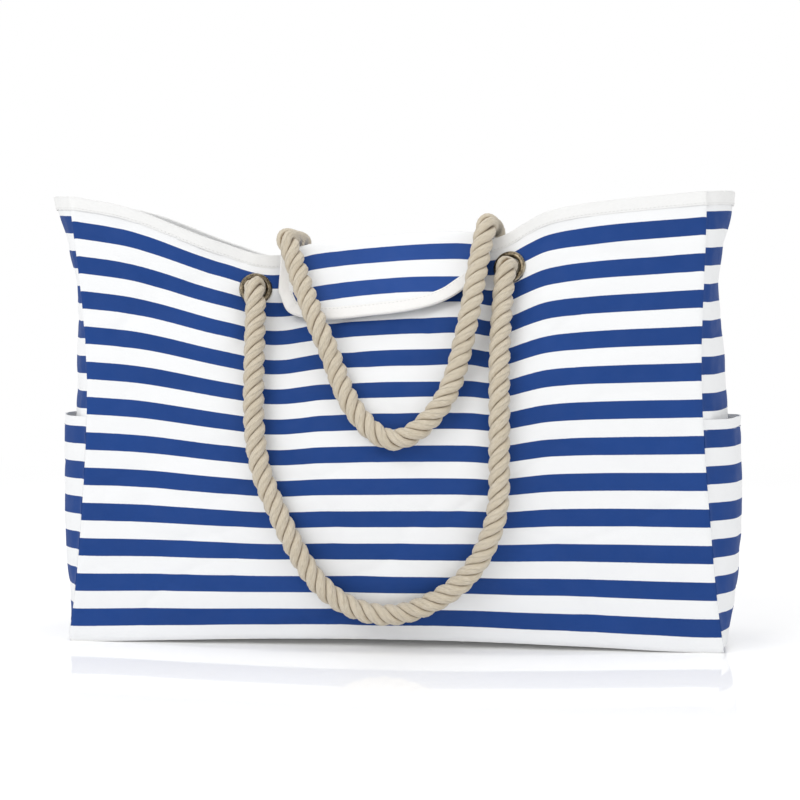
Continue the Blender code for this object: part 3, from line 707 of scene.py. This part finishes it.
def core_points(name, start):
    """Centres of the rings of a CAD rope, in order from the end nearest a point."""
    mesh = frame["nodes"][name].data
    loose = [np.array(p.center - p.normal * ROPE_R * 0.96) for p in mesh.polygons]
    clusters = []
    while loose:
        first = loose[0]
        near = [p for p in loose if np.linalg.norm(p - first) < 0.0035]
        loose = [p for p in loose if np.linalg.norm(p - first) >= 0.0035]
        clusters.append((len(near), np.mean(near, axis=0)))
    usual = np.median([size for size, _ in clusters])
    centres = [Vector(c) for size, c in clusters if 0.7 * usual <= size <= 1.3 * usual]
    chain = [min(centres, key=lambda c: (c - start).length)]
    centres.remove(chain[0])
    while centres:
        following = min(centres, key=lambda c: (c - chain[-1]).length)
        centres.remove(following)
        if (following - chain[-1]).length > 0.004:
            chain.append(following)
    return chain


def away_from(chain, corners):
    """The points of a chain that are clear of every corner."""
    return [c for c in chain if all((c - corner).length > ROPE_CORNER for corner in corners)]


def bend_points(before, corner, after, count=5):
    """A rounded corner between two straight runs."""
    shares = np.linspace(0, 1, count)
    return [before.lerp(corner, t).lerp(corner.lerp(after, t), t) for t in shares]


def knotted_end(centre, normal, turn):
    """Core of an overhand stopper knot behind an eyelet, and of the neck through the eyelet."""
    middle = centre - normal * KNOT_DEPTH
    side = Matrix.Rotation(turn, 3, normal) @ normal.orthogonal().normalized()
    up = normal.cross(side)
    points = []
    for t in np.linspace(TURN * 1.03, TURN * 0.09, 26):
        a = KNOT_SIZE * (math.sin(t) + 2 * math.sin(2 * t))
        b = KNOT_SIZE * (math.cos(t) - 2 * math.cos(2 * t))
        points.append(middle + side * a + up * b - normal * KNOT_RISE * math.sin(3 * t))
    return points + [centre + normal * depth for depth in NECK_DEPTHS]


class Rope:
    """A laid rope: the rings of its strands along a core path, and how far out each point is."""

    def __init__(self, path, eyes, phase):
        self.path = path
        self.stations = []
        ways = unit(np.gradient(path, axis=0))
        side = np.cross(ways[0], (0.3, 0.2, 0.9))
        for place, way, run, scale in zip(path, ways, run_length(path), rope_widths(path, eyes)):
            side = unit(side - way * (side @ way))
            other = np.cross(way, side)
            turn = phase + TURN * run / ROPE_LAY
            strands = [
                self.strand(place, way, side, other, turn + TURN * k / STRANDS, run, scale, k)
                for k in range(STRANDS)
            ]
            self.stations.append(strands)

    @staticmethod
    def strand(place, way, side, other, turn, run, scale, k):
        """One ring of strand k: its points, cloth coordinates and shares of the rope's radius."""
        angle = np.linspace(0, TURN, ROPE_AROUND, endpoint=False)
        offset = STRAND_OFFSET * scale
        out = side * math.cos(turn) + other * math.sin(turn)
        across = other * math.cos(turn) - side * math.sin(turn)
        flank = np.cross(unit(way + across * TURN * offset / ROPE_LAY), out) * STRAND_FLAT
        yarn = angle - TURN * run / YARN_LAY
        radius = STRAND_R * scale * (1 + 0.030 * np.cos(9 * yarn) + 0.012 * np.cos(4 * yarn + k))
        ring = np.cos(angle)[:, None] * out + np.sin(angle)[:, None] * flank
        points = place + out * offset + radius[:, None] * ring
        coords = np.stack([np.full(ROPE_AROUND, run), angle / TURN * 0.029 + k * 0.031], axis=1)
        return points, coords, np.linalg.norm(points - place, axis=1) / (ROPE_R * scale)

    def nearest(self, point):
        """Index of the station nearest a point."""
        return int(np.argmin(np.linalg.norm(self.path - np.array(point), axis=1)))

    def piece(self, name, first, last, material, *nodes):
        """The rope between two stations as closed strands, standing for some CAD nodes."""
        rings = last - first + 1
        parts = [self.stations[i][k] for k in range(STRANDS) for i in range(first, last + 1)]
        points, coords, groove_shade_depths = (np.concatenate(column) for column in zip(*parts))
        faces = []
        for k in range(STRANDS):
            faces += tube_faces(rings, ROPE_AROUND, k * rings * ROPE_AROUND)
        obj = add_mesh(name, points, faces, [material], coords)
        # the groove attribute drives the painted shade in the grooves of the rope material
        layer = obj.data.attributes.new("groove", "FLOAT", "POINT")
        layer.data.foreach_set("value", np.array(groove_shade_depths, dtype=np.float32))
        shade(obj, 60)
        settle(obj, None, "cotton_rope", *nodes)
        return obj


def rope_widths(path, eyes):
    """Width of the rope at each place: squeezed in the eyelets and drawn tight in the knots."""
    widths = np.ones(len(path))
    for centre, normal in eyes:
        spread = path - np.array(centre)
        away = np.linalg.norm(spread, axis=1)
        depth = spread @ np.array(normal)
        knot = (away < 0.05) & (depth < 0.0)
        widths *= 1 - 0.09 * np.exp(-(away / 0.006) ** 2)
        tight = 0.60 + 0.31 * smooth((depth + 0.0065) / 0.0060)
        widths[knot] = np.minimum(widths[knot], tight[knot])
    return widths


def build_front_handle(material):
    """One rope from knot to knot through the two front eyelets."""
    eyes = [disc_frame(f"front_{label}_eyelet") for label in LABELS]
    pivots = [centre + out * ROPE_PIVOT_OUT for centre, out in eyes]
    chain = away_from(core_points("front_handle", eyes[0][0]), pivots)
    halves = []
    for label, eye, pivot, after, turn in zip(LABELS, eyes, pivots, (chain[0], chain[-1]), (0.4, 2.1)):
        mouth = eye[0] + eye[1] * ROPE_MOUTH
        rounded = bend_points(mouth, pivot + Vector(ROPE_PERCH[label]), after)[1:-1]
        halves.append(knotted_end(*eye, turn) + rounded)
    path = even_path(halves[0] + chain + halves[1][::-1], ROPE_STEP)
    nodes = ("front_handle", "front_left_knot", "front_right_knot")
    piece = Rope(path, eyes, 0.9).piece("front_rope_handle", 0, len(path) - 1, material, *nodes)
    leg = (chain[1] - chain[0]).normalized()
    out = Vector((0, eyes[0][1].y, eyes[0][1].z))
    bend(piece, "bag", "front_handle", "front_handle_swing", out + leg, 0.0085, 0.0045)


def axis_point(name, x):
    """The point of a joint's axis at x."""
    point, axis = joint(name)
    return point + axis * ((x - point.x) / axis.x)


def rear_half(eye, corners, turn, end):
    """Core of half the rear rope, from its knot round its corners to just before the loop."""
    points = knotted_end(*eye, turn)
    before = eye[0] + eye[1] * ROPE_MOUTH
    for corner, after in zip(corners, corners[1:] + [end]):
        way = after - corner
        ahead = corner + way.normalized() * min(ROPE_CORNER, way.length / 2)
        points += bend_points(before, corner, ahead)[1:]
        before = after - way.normalized() * ROPE_CORNER
        if after is not end:
            points += [(ahead + before) / 2, before]
    return points[:-1]


def build_back_handle(material):
    """The rear rope: knots, up from the back eyelets, over both rims and down in front."""
    rest = Vector((0.0, 0.0, -ROPE_REST))
    eyes, corners = [], []
    for label in LABELS:
        eye = disc_frame(f"back_{label}_eyelet")
        low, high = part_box(f"back_handle_{label}_span")
        tops = ("back_handle_span_lift", "back_handle_lift")
        bends = [axis_point(name, (low.x + high.x) / 2) + rest for name in tops]
        eyes.append(eye)
        corners.append([eye[0] + eye[1] * ROPE_PIVOT_OUT] + bends)
    ends = [line[-1] for line in corners]
    loop = away_from(core_points("back_handle_loop", ends[0]), ends)
    left, right = map(rear_half, eyes, corners, (1.2, 2.9), (loop[0], loop[-1]))
    path = even_path(left + loop + right[::-1], ROPE_STEP)
    rope = Rope(path, eyes, 2.0)
    cuts = []
    for label, eye, line, end in zip(LABELS, eyes, corners, (0, len(path) - 1)):
        root, span = (rope.nearest((line[k] + line[k + 1]) / 2) for k in (0, 1))
        nodes = (f"back_{label}_knot", f"back_handle_{label}_root")
        low = rope.piece(f"back_rope_{label}_end", *sorted((end, root)), material, *nodes)
        way = (0, eye[1].y, eye[1].z + 1.0)
        bend(low, "bag", "back_handle_roots", "back_handle_root_swing", way, 0.0085, 0.0035)
        node = f"back_handle_{label}_span"
        high = rope.piece(f"back_rope_{label}_bend", *sorted((root, span)), material, node)
        bodies = ("back_handle_roots", "back_handle_spans")
        bend(high, *bodies, "back_handle_span_lift", (0, -1, 1), 0.007, 0.007)
        cuts.append(span)
    front = rope.piece("back_rope_loop", *cuts, material, "back_handle_loop")
    bodies = ("back_handle_spans", "back_handle_loop")
    bend(front, *bodies, "back_handle_lift", (0, -1, -0.8), 0.007, 0.007)


# ---------------- the closing flap


class Flap:
    """The flap's cross section at each x: hem, top and hanging part as one run of cloth."""

    def __init__(self):
        hem, front = node_points("flap_hem"), node_points("flap_front")
        self.hem = Fit(hem, 0, 2, 1)
        self.top = Fit(node_points("flap_top"), 0, 1, 2)
        self.front = Fit(front, 0, 2, 1)
        self.hem_low = edge_curve(hem, 0, 2, -1, reach=0.004, margin=0.003)
        corners = edge_curve(front, 0, 2, -1, reach=0.0022, margin=0.0025)
        self.edge = even_path([(x, 0.0, z) for x, z in corners], 0.001)
        self.left, self.right = front[:, 0].min(), front[:, 0].max()
        self.back_y = joint("flap_open")[0].y
        self.front_y = joint("flap_unfold")[0].y

    def section(self, x):
        """Corners of the cross section at x: hem end, back fold, front fold, hanging end."""
        low_z = float(along_curve(self.hem_low, x))
        end_z = float(np.interp(x, self.edge[:, 0], self.edge[:, 2]))
        start = Vector((x, self.hem.at(x, low_z), low_z))
        end = Vector((x, self.front.at(x, end_z), end_z))
        fold = self.corner(x, self.front_y, self.front) - Vector((0, 0, FLAP_REST))
        return start, self.corner(x, self.back_y, self.hem), fold, end

    def corner(self, x, y, wall):
        """Where the top meets the hem or the hanging part at x."""
        z = self.top.at(x, y)
        for _ in range(2):
            y = wall.at(x, z)
            z = self.top.at(x, y)
        return Vector((x, y, z))


def folded_run(before, corner, after, share):
    """Point at a share of the way along before-corner-after, the corner rounded."""
    first, second = (before - corner), (after - corner)
    at = share * (first.length + second.length)
    if at < first.length - FOLD_R:
        return before.lerp(corner, at / first.length)
    if at > first.length + FOLD_R:
        return corner.lerp(after, (at - first.length) / second.length)
    t = (at - first.length + FOLD_R) / (2 * FOLD_R)
    a = corner + first.normalized() * FOLD_R
    b = corner + second.normalized() * FOLD_R
    return a.lerp(corner, t).lerp(corner.lerp(b, t), t)


def flap_grid(sections, which):
    """Grid and cloth coordinates of the flap behind (0) or in front (1) of the middle of its top."""
    shares = np.linspace(0, 1, FLAP_ROWS[which])
    grid = np.zeros((len(shares), len(sections), 3))
    coords = np.zeros((len(shares), len(sections), 2))
    for c, (start, back, fold, end) in enumerate(sections):
        middle = (back + fold) / 2
        run = (middle, fold, end) if which else (start, back, middle)
        top = (fold - middle).length
        whole = (run[1] - run[0]).length + (run[2] - run[1]).length
        for r, share in enumerate(shares):
            grid[r, c] = folded_run(*run, share)
            down = share * whole - top - (0 if which else whole)
            coords[r, c] = (grid[r, c, 0], -down)
    if which:
        normals, _ = grid_normals(grid, FLAP_OUTWARD[which])
        down = -coords[..., 1]
        wave = 0.0007 * waves(grid[..., 0], down, 91.0, 0.050, 0.060)
        grid = grid + normals * (wave * smooth(down / 0.03))[..., None]
    return grid, coords


def build_flap(looks):
    """The flap in two pieces that meet in the middle of its top, and its bound edge."""
    flap = Flap()
    across, centre = (flap.right - flap.left) / 2, (flap.right + flap.left) / 2
    angles = np.linspace(-math.pi / 2, math.pi / 2, FLAP_COLUMNS)
    sections = [flap.section(centre + across * math.sin(a)) for a in angles]
    skins = (looks["flap"], looks["lining"])
    names = ("flap_back_cloth", "flap_front_cloth")
    nodes = (("flap_hem", "flap_top"), ("flap_front",))
    grids = []
    for which in (0, 1):
        grid, coords = flap_grid(sections, which)
        cloth = add_cloth(names[which], grid, coords, FLAP_OUTWARD[which], skins)
        settle_flap(cloth, which, "striped_canvas", *nodes[which])
        grids.append(grid)
    grids[0][-1] = grids[1][0]
    build_side_tapes(grids[0], looks["flap_tape"])
    build_edge_tape(grids[1], looks)


def settle_flap(piece, which, slot, *nodes):
    """Hides the CAD nodes a piece of the flap stands for and bakes its placement; the slot is not
    used.
    """
    settle(piece, None, slot, *nodes)
    if which == 0:
        bend(piece, "bag", "flap_top", "flap_open", (0, -1, 1), 0.006, 0.006)
    else:
        bend(piece, "flap_top", "flap_front", "flap_unfold", (0, -1, -1), 0.006, 0.006)


def build_side_tapes(back, material):
    """Binding on the two sides of the flap's top."""
    normals, _ = grid_normals(back, FLAP_OUTWARD[0])
    upper = slice(FLAP_TAPE_START, None)
    for label, column, way in zip(LABELS, (0, -1), (1, -1)):
        line = back[upper, column]
        inward = unit(back[upper, column + 6 * way] - line)
        stations = np.stack([line, inward, normals[upper, column + 2 * way]], axis=1)
        tape = add_tape(f"flap_{label}_binding", stations, False, FLAP_TAPE_WIDTH, material, 5.0 + way)
        settle_flap(tape, 0, "binding_tape", f"flap_top_{label}_tape")


def build_edge_tape(front, looks):
    """Binding and stitches round the hanging edge of the flap."""
    normals, _ = grid_normals(front, FLAP_OUTWARD[1])
    last_row, last_column = front.shape[0] - 1, front.shape[1] - 1
    ring = [(r, 0) for r in range(last_row)]
    ring += [(last_row, c) for c in range(last_column + 1)]
    ring += [(r, last_column) for r in reversed(range(last_row))]
    line = np.array([front[r, c] for r, c in ring])
    stations = []
    for i, (r, c) in enumerate(ring):
        along = unit(line[min(i + 2, len(ring) - 1)] - line[max(i - 2, 0)])
        out = normals[min(r, last_row - 3), min(max(c, 3), last_column - 3)]
        inward = unit(np.cross(out, along))
        stations.append((line[i], inward, unit(np.cross(along, inward))))
    stations = spaced_stations(np.array(stations), 0.0022)
    tape = add_tape("flap_edge_binding", stations, False, FLAP_TAPE_WIDTH, looks["flap_tape"], 9.0)
    settle_flap(tape, 1, "binding_tape", "flap_front_tape")
    points, ins, outs = np.moveaxis(stations, 1, 0)
    line = points + ins * 0.0083
    stitches = add_stitches("flap_edge_stitches", line, outs, TAPE_TOP, looks["thread"])
    settle_flap(stitches, 1, "binding_tape")


# ---------------- metal


def add_turned(name, profile, centre, axis, material, closed=True, around=96):
    """A turned piece; profile holds (radius, height) pairs, height along the axis."""
    turn = Vector(axis).to_track_quat("Z", "Y").to_matrix()
    vertices, coords = [], []
    for a in np.linspace(0, TURN, around, endpoint=False):
        for j, (r, h) in enumerate(profile):
            vertices.append(centre + turn @ Vector((r * math.cos(a), r * math.sin(a), h)))
            coords.append((a * 0.01, j * 0.001))
    faces = grid_faces(around, len(profile), True, closed)
    obj = add_mesh(name, vertices, faces, [material], coords)
    shade(obj, 40, weld=0.000005)
    return obj


def eyelet_profile(bore, outer):
    """Section of an eyelet: rolled flange outside, barrel through the cloth."""
    face = CLOTH / 2
    crown, tube_end = face + EYELET_CROWN, -face - EYELET_TUBE
    base, top = face * 0.3, bore + ROLL_R
    section = [(bore, tube_end), (bore, base)]
    for angle in np.linspace(math.pi, math.pi * 0.52, 9):
        section.append((top + ROLL_R * math.cos(angle), base + (crown - base) * math.sin(angle)))
    for t in np.linspace(0.08, 1, 10):
        drop = (crown - face) * (1 - math.sqrt(max(1 - t ** 2.6, 0.0)))
        section.append((top + (outer - top) * t, crown - drop))
    section += [(outer - 0.0003, face - 0.00005), (bore + 0.0026, face + 0.0002)]
    section += [(bore + 0.0007, face * 0.2), (bore + 0.0007, tube_end)]
    return section


def washer_profile(bore, outer):
    """Section of the dished washer behind an eyelet."""
    face = -CLOTH / 2
    section = [(bore + 0.0008, face), (outer - 0.0002, face), (outer, face - 0.0004)]
    section += [(outer - 0.0005, face - 0.0011), (bore + 0.0022, face - 0.0018)]
    return section + [(bore + 0.0009, face - 0.0014)]


def snap_profile(boss):
    """Half section of a thin pressed disc with a raised ring, and a boss or a hollow."""
    points = [(0.0, 0.0002 + boss), (0.0030, 0.0002 + boss), (0.0034, 0.0002)]
    points += [(0.0062, 0.0002), (0.0066, 0.0006), (0.0078, 0.0006), (0.0088, 0.0002)]
    return points + [(0.0090, -0.0003), (0.0088, -0.0006), (0.0, -0.0006)]


def build_metal(looks):
    """Eyelets with rolled flanges, their washers, and the two halves of the snap."""
    metal = looks["metal"]
    for eye in (f"{word}_{label}" for word in FACES.values() for label in LABELS):
        centre, axis = disc_frame(f"{eye}_eyelet")
        points = node_points(f"{eye}_eyelet") - np.array(centre)
        heights = points @ np.array(axis)
        radii = np.linalg.norm(points - heights[:, None] * np.array(axis), axis=1)
        for part, profile in (("eyelet", eyelet_profile), ("washer", washer_profile)):
            section = profile(radii.min(), radii.max())
            ring = add_turned(f"{eye}_{part}_ring", section, centre, axis, metal)
            settle(ring, "bag", "eyelet_metal", f"{eye}_{part}")
    for node, body, way, boss in (
        ("snap_stud", "flap_front", -1, 0.0005), ("snap_socket", "bag", 1, -0.0004),
    ):
        centre, axis = disc_frame(node)
        disc = add_turned(f"{node}_disc", snap_profile(boss), centre, axis * way, metal, closed=False)
        settle(disc, body, "snap_metal", node)


# ---------------- materials


def linear(colour, dim=1.0):
    """Scene-linear RGBA of an sRGB colour given as 0-255 numbers, made dimmer or brighter."""
    shares = [c / 255 for c in colour]
    made = [s / 12.92 if s <= 0.04045 else ((s + 0.055) / 1.055) ** 2.4 for s in shares]
    return (*(min(c * dim, 1.0) for c in made), 1.0)


class Shader:
    """The nodes of a material, given by its name, or of a world, under construction."""

    def __init__(self, owner):
        self.owner = bpy.data.materials.new(owner) if isinstance(owner, str) else owner
        self.owner.use_nodes = True
        self.tree = self.owner.node_tree
        self.surface = self.tree.nodes.get("Principled BSDF")
        self.output = next(n for n in self.tree.nodes if n.type.startswith("OUTPUT"))

    def put(self, value, socket):
        """Sets a socket to a number or colour, or links another socket to it."""
        if isinstance(value, bpy.types.NodeSocket):
            self.tree.links.new(value, socket)
        else:
            socket.default_value = value

    def node(self, kind, inputs=None, **settings):
        """A new node, with a value or another node's socket for some of its inputs."""
        made = self.tree.nodes.new(f"ShaderNode{kind}")
        for key, value in settings.items():
            setattr(made, key, value)
        for key, value in (inputs or {}).items():
            self.put(value, made.inputs[key])
        return made

    def math(self, operation, a, b=0.0):
        return self.node("Math", {0: a, 1: b}, operation=operation).outputs[0]

    def sine(self, value, pitch):
        """A wave along a coordinate, one every pitch."""
        return self.math("SINE", self.math("MULTIPLY", value, TURN / pitch))

    def mix(self, share, a, b):
        return self.node("Mix", {0: share, 6: a, 7: b}, data_type="RGBA").outputs[2]

    def ramp(self, value, low, high, out_low=0.0, out_high=1.0):
        inputs = dict(enumerate((value, low, high, out_low, out_high)))
        return self.node("MapRange", inputs, interpolation_type="SMOOTHSTEP").outputs[0]

    def noise(self, vector, scale, detail=3.0):
        inputs = {"Vector": vector, "Scale": scale, "Detail": detail}
        return self.node("TexNoise", inputs).outputs["Fac"]

    def scaled(self, vector, scale):
        return self.node("Mapping", {"Vector": vector, "Scale": scale}).outputs[0]

    def bump(self, height, distance, strength, onto=None):
        inputs = {"Strength": strength, "Distance": distance, "Height": height}
        if onto is not None:
            inputs["Normal"] = onto
        return self.node("Bump", inputs).outputs[0]

    def place(self):
        """Coordinates in the object."""
        return self.node("TexCoord").outputs["Object"]

    def cloth(self):
        """Cloth coordinates: the vector and its two parts in metres."""
        vector = self.node("UVMap", uv_map="cloth").outputs[0]
        split = self.node("SeparateXYZ", {0: vector})
        return vector, split.outputs[0], split.outputs[1]

    def finish(self, colour, roughness, normal=None, **more):
        """Joins the looks to the surface and gives the material."""
        more.update(Base_Color=colour, Roughness=roughness)
        if normal is not None:
            more["Normal"] = normal
        for key, value in more.items():
            self.put(value, self.surface.inputs[key.replace("_", " ")])
        return self.owner


def stripe_share(s, vector, v, first, gap):
    """1 on the blue stripes and 0 between them, with thread-fine edges."""
    moved = v
    for scale, detail, reach in ((900.0, 2.0, 0.0005), (14.0, 1.0, 0.0006)):
        stray = s.math("SUBTRACT", s.noise(vector, scale, detail), 0.5)
        moved = s.math("ADD", moved, s.math("MULTIPLY", stray, reach))
    cycle = s.math("DIVIDE", s.math("SUBTRACT", moved, first - gap / 2), gap)
    from_middle = s.math("ABSOLUTE", s.math("SUBTRACT", s.math("FRACT", cycle), 0.5))
    half, edge = STRIPE_BLUE / gap / 2, 0.00022 / gap
    return s.ramp(from_middle, half + edge, half - edge)


def canvas(name, first, blue, white, faint=1.0, thread=0.00085, gap=STRIPE_PITCH):
    """Woven canvas with printed stripes; faint below 1 shows them through the back of the cloth."""
    s = Shader(name)
    vector, u, v = s.cloth()
    share = stripe_share(s, vector, v, first, gap)
    crossing = s.math("MULTIPLY", s.sine(u, 2 * thread), s.sine(v, 2 * thread))
    weave = s.math("ADD", s.math("MULTIPLY", crossing, 0.5), 0.5)
    fleck = s.noise(s.scaled(vector, (1.0, 6.0, 1.0)), 420.0)
    grain = s.math("MULTIPLY", s.math("ADD", weave, fleck), 0.5)
    cloud = s.noise(vector, 9.0, 4.0)
    ink = s.mix(grain, linear(blue, 0.80), linear(blue))
    ink = s.mix(s.ramp(cloud, 0.35, 0.7, 0.0, 0.22), ink, linear(blue, 1.35))
    shade_white = linear(white, 0.93)
    plain = s.mix(s.ramp(grain, 0.2, 0.8), shade_white, linear(white))
    plain = s.mix(s.ramp(cloud, 0.30, 0.75, 0.0, 0.35), plain, shade_white)
    colour = s.mix(s.math("MULTIPLY", share, faint), plain, ink)
    height = s.math("ADD", weave, s.math("MULTIPLY", s.noise(vector, 2600.0, 2.0), 0.35))
    crumple = s.noise(s.scaled(vector, (1.0, 1.5, 1.0)), 38.0, 5.0)
    normal = s.bump(crumple, 0.0016, 0.55, s.bump(height, 0.00009, 0.8))
    rough = s.ramp(s.noise(vector, 60.0), 0.3, 0.7, 0.66, 0.80)
    gloss = {"Sheen_Weight": 0.04, "Sheen_Roughness": 0.45, "Specular_IOR_Level": 0.20}
    return s.finish(colour, rough, normal, **gloss)


def tape_material(name, colour):
    """White twill tape with diagonal ribs."""
    s = Shader(name)
    vector, u, v = s.cloth()
    rib = s.sine(s.math("ADD", u, v), 0.00095)
    slub = s.noise(s.scaled(vector, (1.0, 5.0, 1.0)), 300.0)
    height = s.math("ADD", s.math("MULTIPLY", rib, 0.4), slub)
    dark = linear(colour, 0.93)
    tone = s.mix(s.ramp(height, 0.0, 1.1), dark, linear(colour))
    worn = s.mix(s.ramp(s.noise(vector, 24.0, 4.0), 0.5, 0.8, 0.0, 0.30), tone, dark)
    normal = s.bump(s.noise(vector, 70.0, 4.0), 0.0009, 0.5, s.bump(height, 0.00014, 0.8))
    return s.finish(worn, 0.82, normal, Sheen_Weight=0.15, Specular_IOR_Level=0.25)


def rope_material(name):
    """Natural cotton: yarns along the strand, fine fibres, and painted shade: darker brown in the
    grooves between strands.
    """
    s = Shader(name)
    vector, u, v = s.cloth()
    depth = s.node("Attribute", attribute_name="groove").outputs["Fac"]
    yarn = s.sine(s.math("ADD", v, s.math("MULTIPLY", u, 0.62)), 0.0014)
    fibre = s.noise(s.scaled(vector, (0.25, 1.0, 1.0)), 1500.0, 4.0)
    fuzz = s.noise(s.place(), 1900.0)
    mottled = s.noise(s.place(), 55.0, 4.0)
    # low is the painted shade colour laid into the grooves of the rope
    light, mid, low = linear((221, 211, 193)), linear((199, 186, 162)), linear((130, 108, 76))
    grain = s.math("ADD", fibre, s.math("MULTIPLY", yarn, 0.12))
    body = s.mix(s.ramp(grain, 0.30, 0.72), mid, light)
    body = s.mix(s.ramp(mottled, 0.42, 0.75, 0.0, 0.45), body, mid)
    # painted shade: where the groove attribute (share of the rope's radius) is low, between strands,
    # the colour turns dark brown
    colour = s.mix(s.ramp(depth, 0.66, 0.90), low, body)
    height = s.math("ADD", fibre, s.math("MULTIPLY", fuzz, 0.5))
    height = s.math("ADD", s.math("MULTIPLY", yarn, 0.30), height)
    gloss = {"Sheen_Weight": 0.30, "Sheen_Roughness": 0.6, "Specular_IOR_Level": 0.15}
    return s.finish(colour, 0.92, s.bump(height, 0.00034, 0.85), **gloss)


def metal_material(name):
    """Antique bronze plating, rubbed bright on its edges."""
    s = Shader(name)
    place = s.place()
    edge = s.node("NewGeometry").outputs["Pointiness"]
    dark, mid, rubbed = linear((70, 62, 50)), linear((122, 110, 90)), linear((196, 186, 164))
    tone = s.mix(s.ramp(s.noise(place, 420.0, 5.0), 0.35, 0.65), dark, mid)
    tone = s.mix(s.ramp(edge, 0.50, 0.56, 0.0, 0.75), tone, rubbed)
    rough = s.ramp(s.noise(place, 900.0), 0.3, 0.7, 0.20, 0.38)
    scratches = s.noise(s.scaled(place, (1.0, 1.0, 8.0)), 1500.0, 2.0)
    return s.finish(tone, rough, s.bump(scratches, 0.00005, 0.5), Metallic=1.0)


def thread_material(name):
    """Twisted white sewing thread."""
    s = Shader(name)
    _, u, v = s.cloth()
    twist = s.sine(s.math("ADD", u, v), 0.00045)
    tone = s.mix(s.ramp(twist, -1.0, 1.0), linear((205, 205, 203)), linear((240, 240, 238)))
    return s.finish(tone, 0.7, s.bump(twist, 0.00006, 0.8), Sheen_Weight=0.1)


def make_looks():
    """Every material of the bag."""
    first, white = STRIPE_FIRST, (247, 248, 249)
    flap = {"first": FLAP_STRIPE_FIRST, "gap": FLAP_STRIPE_PITCH}
    pale = {"faint": 0.0, "thread": 0.0012}
    return {
        "stripes": canvas("striped_canvas", first, (30, 68, 136), white),
        "flap": canvas("flap_canvas", blue=(38, 75, 146), white=white, **flap),
        "lining": canvas("canvas_back", first, (120, 138, 176), (226, 227, 228), faint=0.30),
        "base": canvas("base_canvas", first, (236, 236, 234), (240, 240, 238), **pale),
        "tape": tape_material("binding_tape", (246, 246, 245)),
        "flap_tape": tape_material("flap_binding", (249, 248, 246)),
        "rope": rope_material("cotton_rope"),
        "metal": metal_material("antique_metal"),
        "thread": thread_material("sewing_thread"),
    }


# ---------------- floor, light and camera


def add_floor():
    """A pale floor with a faint mirror image, fading to pure white away from the bag."""
    half = FLOOR_HALF
    corners = [(-half, -half, 0), (half, -half, 0), (half, half, 0), (-half, half, 0)]
    s = Shader("floor_white")
    s.finish(WHITE, 0.9, Specular_IOR_Level=0.0)
    gloss = s.node("BsdfAnisotropic", {"Roughness": FLOOR_GLOSS_ROUGHNESS, "Color": WHITE})
    glow = s.node("Emission", {"Strength": FLOOR_LIFT})
    lifted = s.node("AddShader", {0: s.surface.outputs[0], 1: glow.outputs[0]})
    away = s.node("VectorMath", {0: s.place()}, operation="LENGTH")
    squeezed = s.scaled(s.place(), (0.25, 1.0, 1.0))
    near_bag = s.node("VectorMath", {0: squeezed}, operation="LENGTH")
    mirror = s.ramp(
        near_bag.outputs["Value"], FLOOR_MIRROR_START, FLOOR_MIRROR_END, FLOOR_MIRROR, 0.0
    )
    fade = s.ramp(away.outputs["Value"], FLOOR_FADE_START, FLOOR_FADE_END)
    seen = s.node("LightPath").outputs["Is Camera Ray"]
    near = s.node("MixShader", {0: mirror, 1: lifted.outputs[0], 2: gloss.outputs[0]})
    white = s.node("Emission")
    whole = s.node("MixShader", {0: fade, 1: near.outputs[0], 2: white.outputs[0]})
    final = s.node("MixShader", {0: seen, 1: s.surface.outputs[0], 2: whole.outputs[0]})
    s.put(final.outputs[0], s.output.inputs["Surface"])
    add_mesh("floor", corners, [(0, 1, 2, 3)], [s.owner])


def add_world():
    """An even white studio: one brightness for the camera and mirrors, a softer one for light."""
    s = Shader(bpy.data.worlds.new("studio"))
    path = s.node("LightPath")
    direct = s.math("MAXIMUM", path.outputs["Is Camera Ray"], path.outputs["Is Glossy Ray"])
    lit = s.node("Background", {"Color": WHITE, "Strength": DOME_LIGHT})
    seen = s.node("Background", {"Color": WHITE, "Strength": 1.0})
    both = s.node("MixShader", {0: direct, 1: lit.outputs[0], 2: seen.outputs[0]})
    s.put(both.outputs[0], s.output.inputs["Surface"])
    bpy.context.scene.world = s.owner


def aimed(name, data, place, target):
    """Adds a light or camera at a place, looking at a target."""
    obj = bpy.data.objects.new(name, data)
    obj.location = place
    obj.rotation_mode = "QUATERNION"
    obj.rotation_quaternion = (Vector(target) - Vector(place)).to_track_quat("-Z", "Y")
    bpy.context.scene.collection.objects.link(obj)
    return obj


def build_stage():
    """Floor, soft lights, the camera at the photograph's angle and plain colour management."""
    add_floor()
    add_world()
    for name, place, size, watts, target in LIGHTS:
        light = bpy.data.lights.new(name, "AREA")
        light.shape = "RECTANGLE"
        light.size, light.size_y = size
        light.energy = watts
        aimed(name, light, place, target)
    lens = bpy.data.cameras.new("camera")
    lens.lens = CAMERA_LENS
    lens.sensor_width = 36.0
    lens.clip_start = 0.05
    lens.clip_end = 60.0
    angle = math.radians(CAMERA_AZIMUTH)
    x, y = math.sin(angle) * CAMERA_DISTANCE, -math.cos(angle) * CAMERA_DISTANCE
    scene = bpy.context.scene
    scene.camera = aimed("camera", lens, (x, y, CAMERA_HEIGHT), (0.0, 0.0, CAMERA_TARGET_Z))
    scene.view_settings.view_transform = "Standard"
    scene.view_settings.look = "None"


def build_bag():
    """Builds every visible piece of the bag."""
    looks = make_looks()
    walls, rims = build_walls(looks)
    build_rim(walls, rims, looks)
    build_metal(looks)
    build_front_handle(looks["rope"])
    build_back_handle(looks["rope"])
    build_flap(looks)


build_bag()
build_stage()
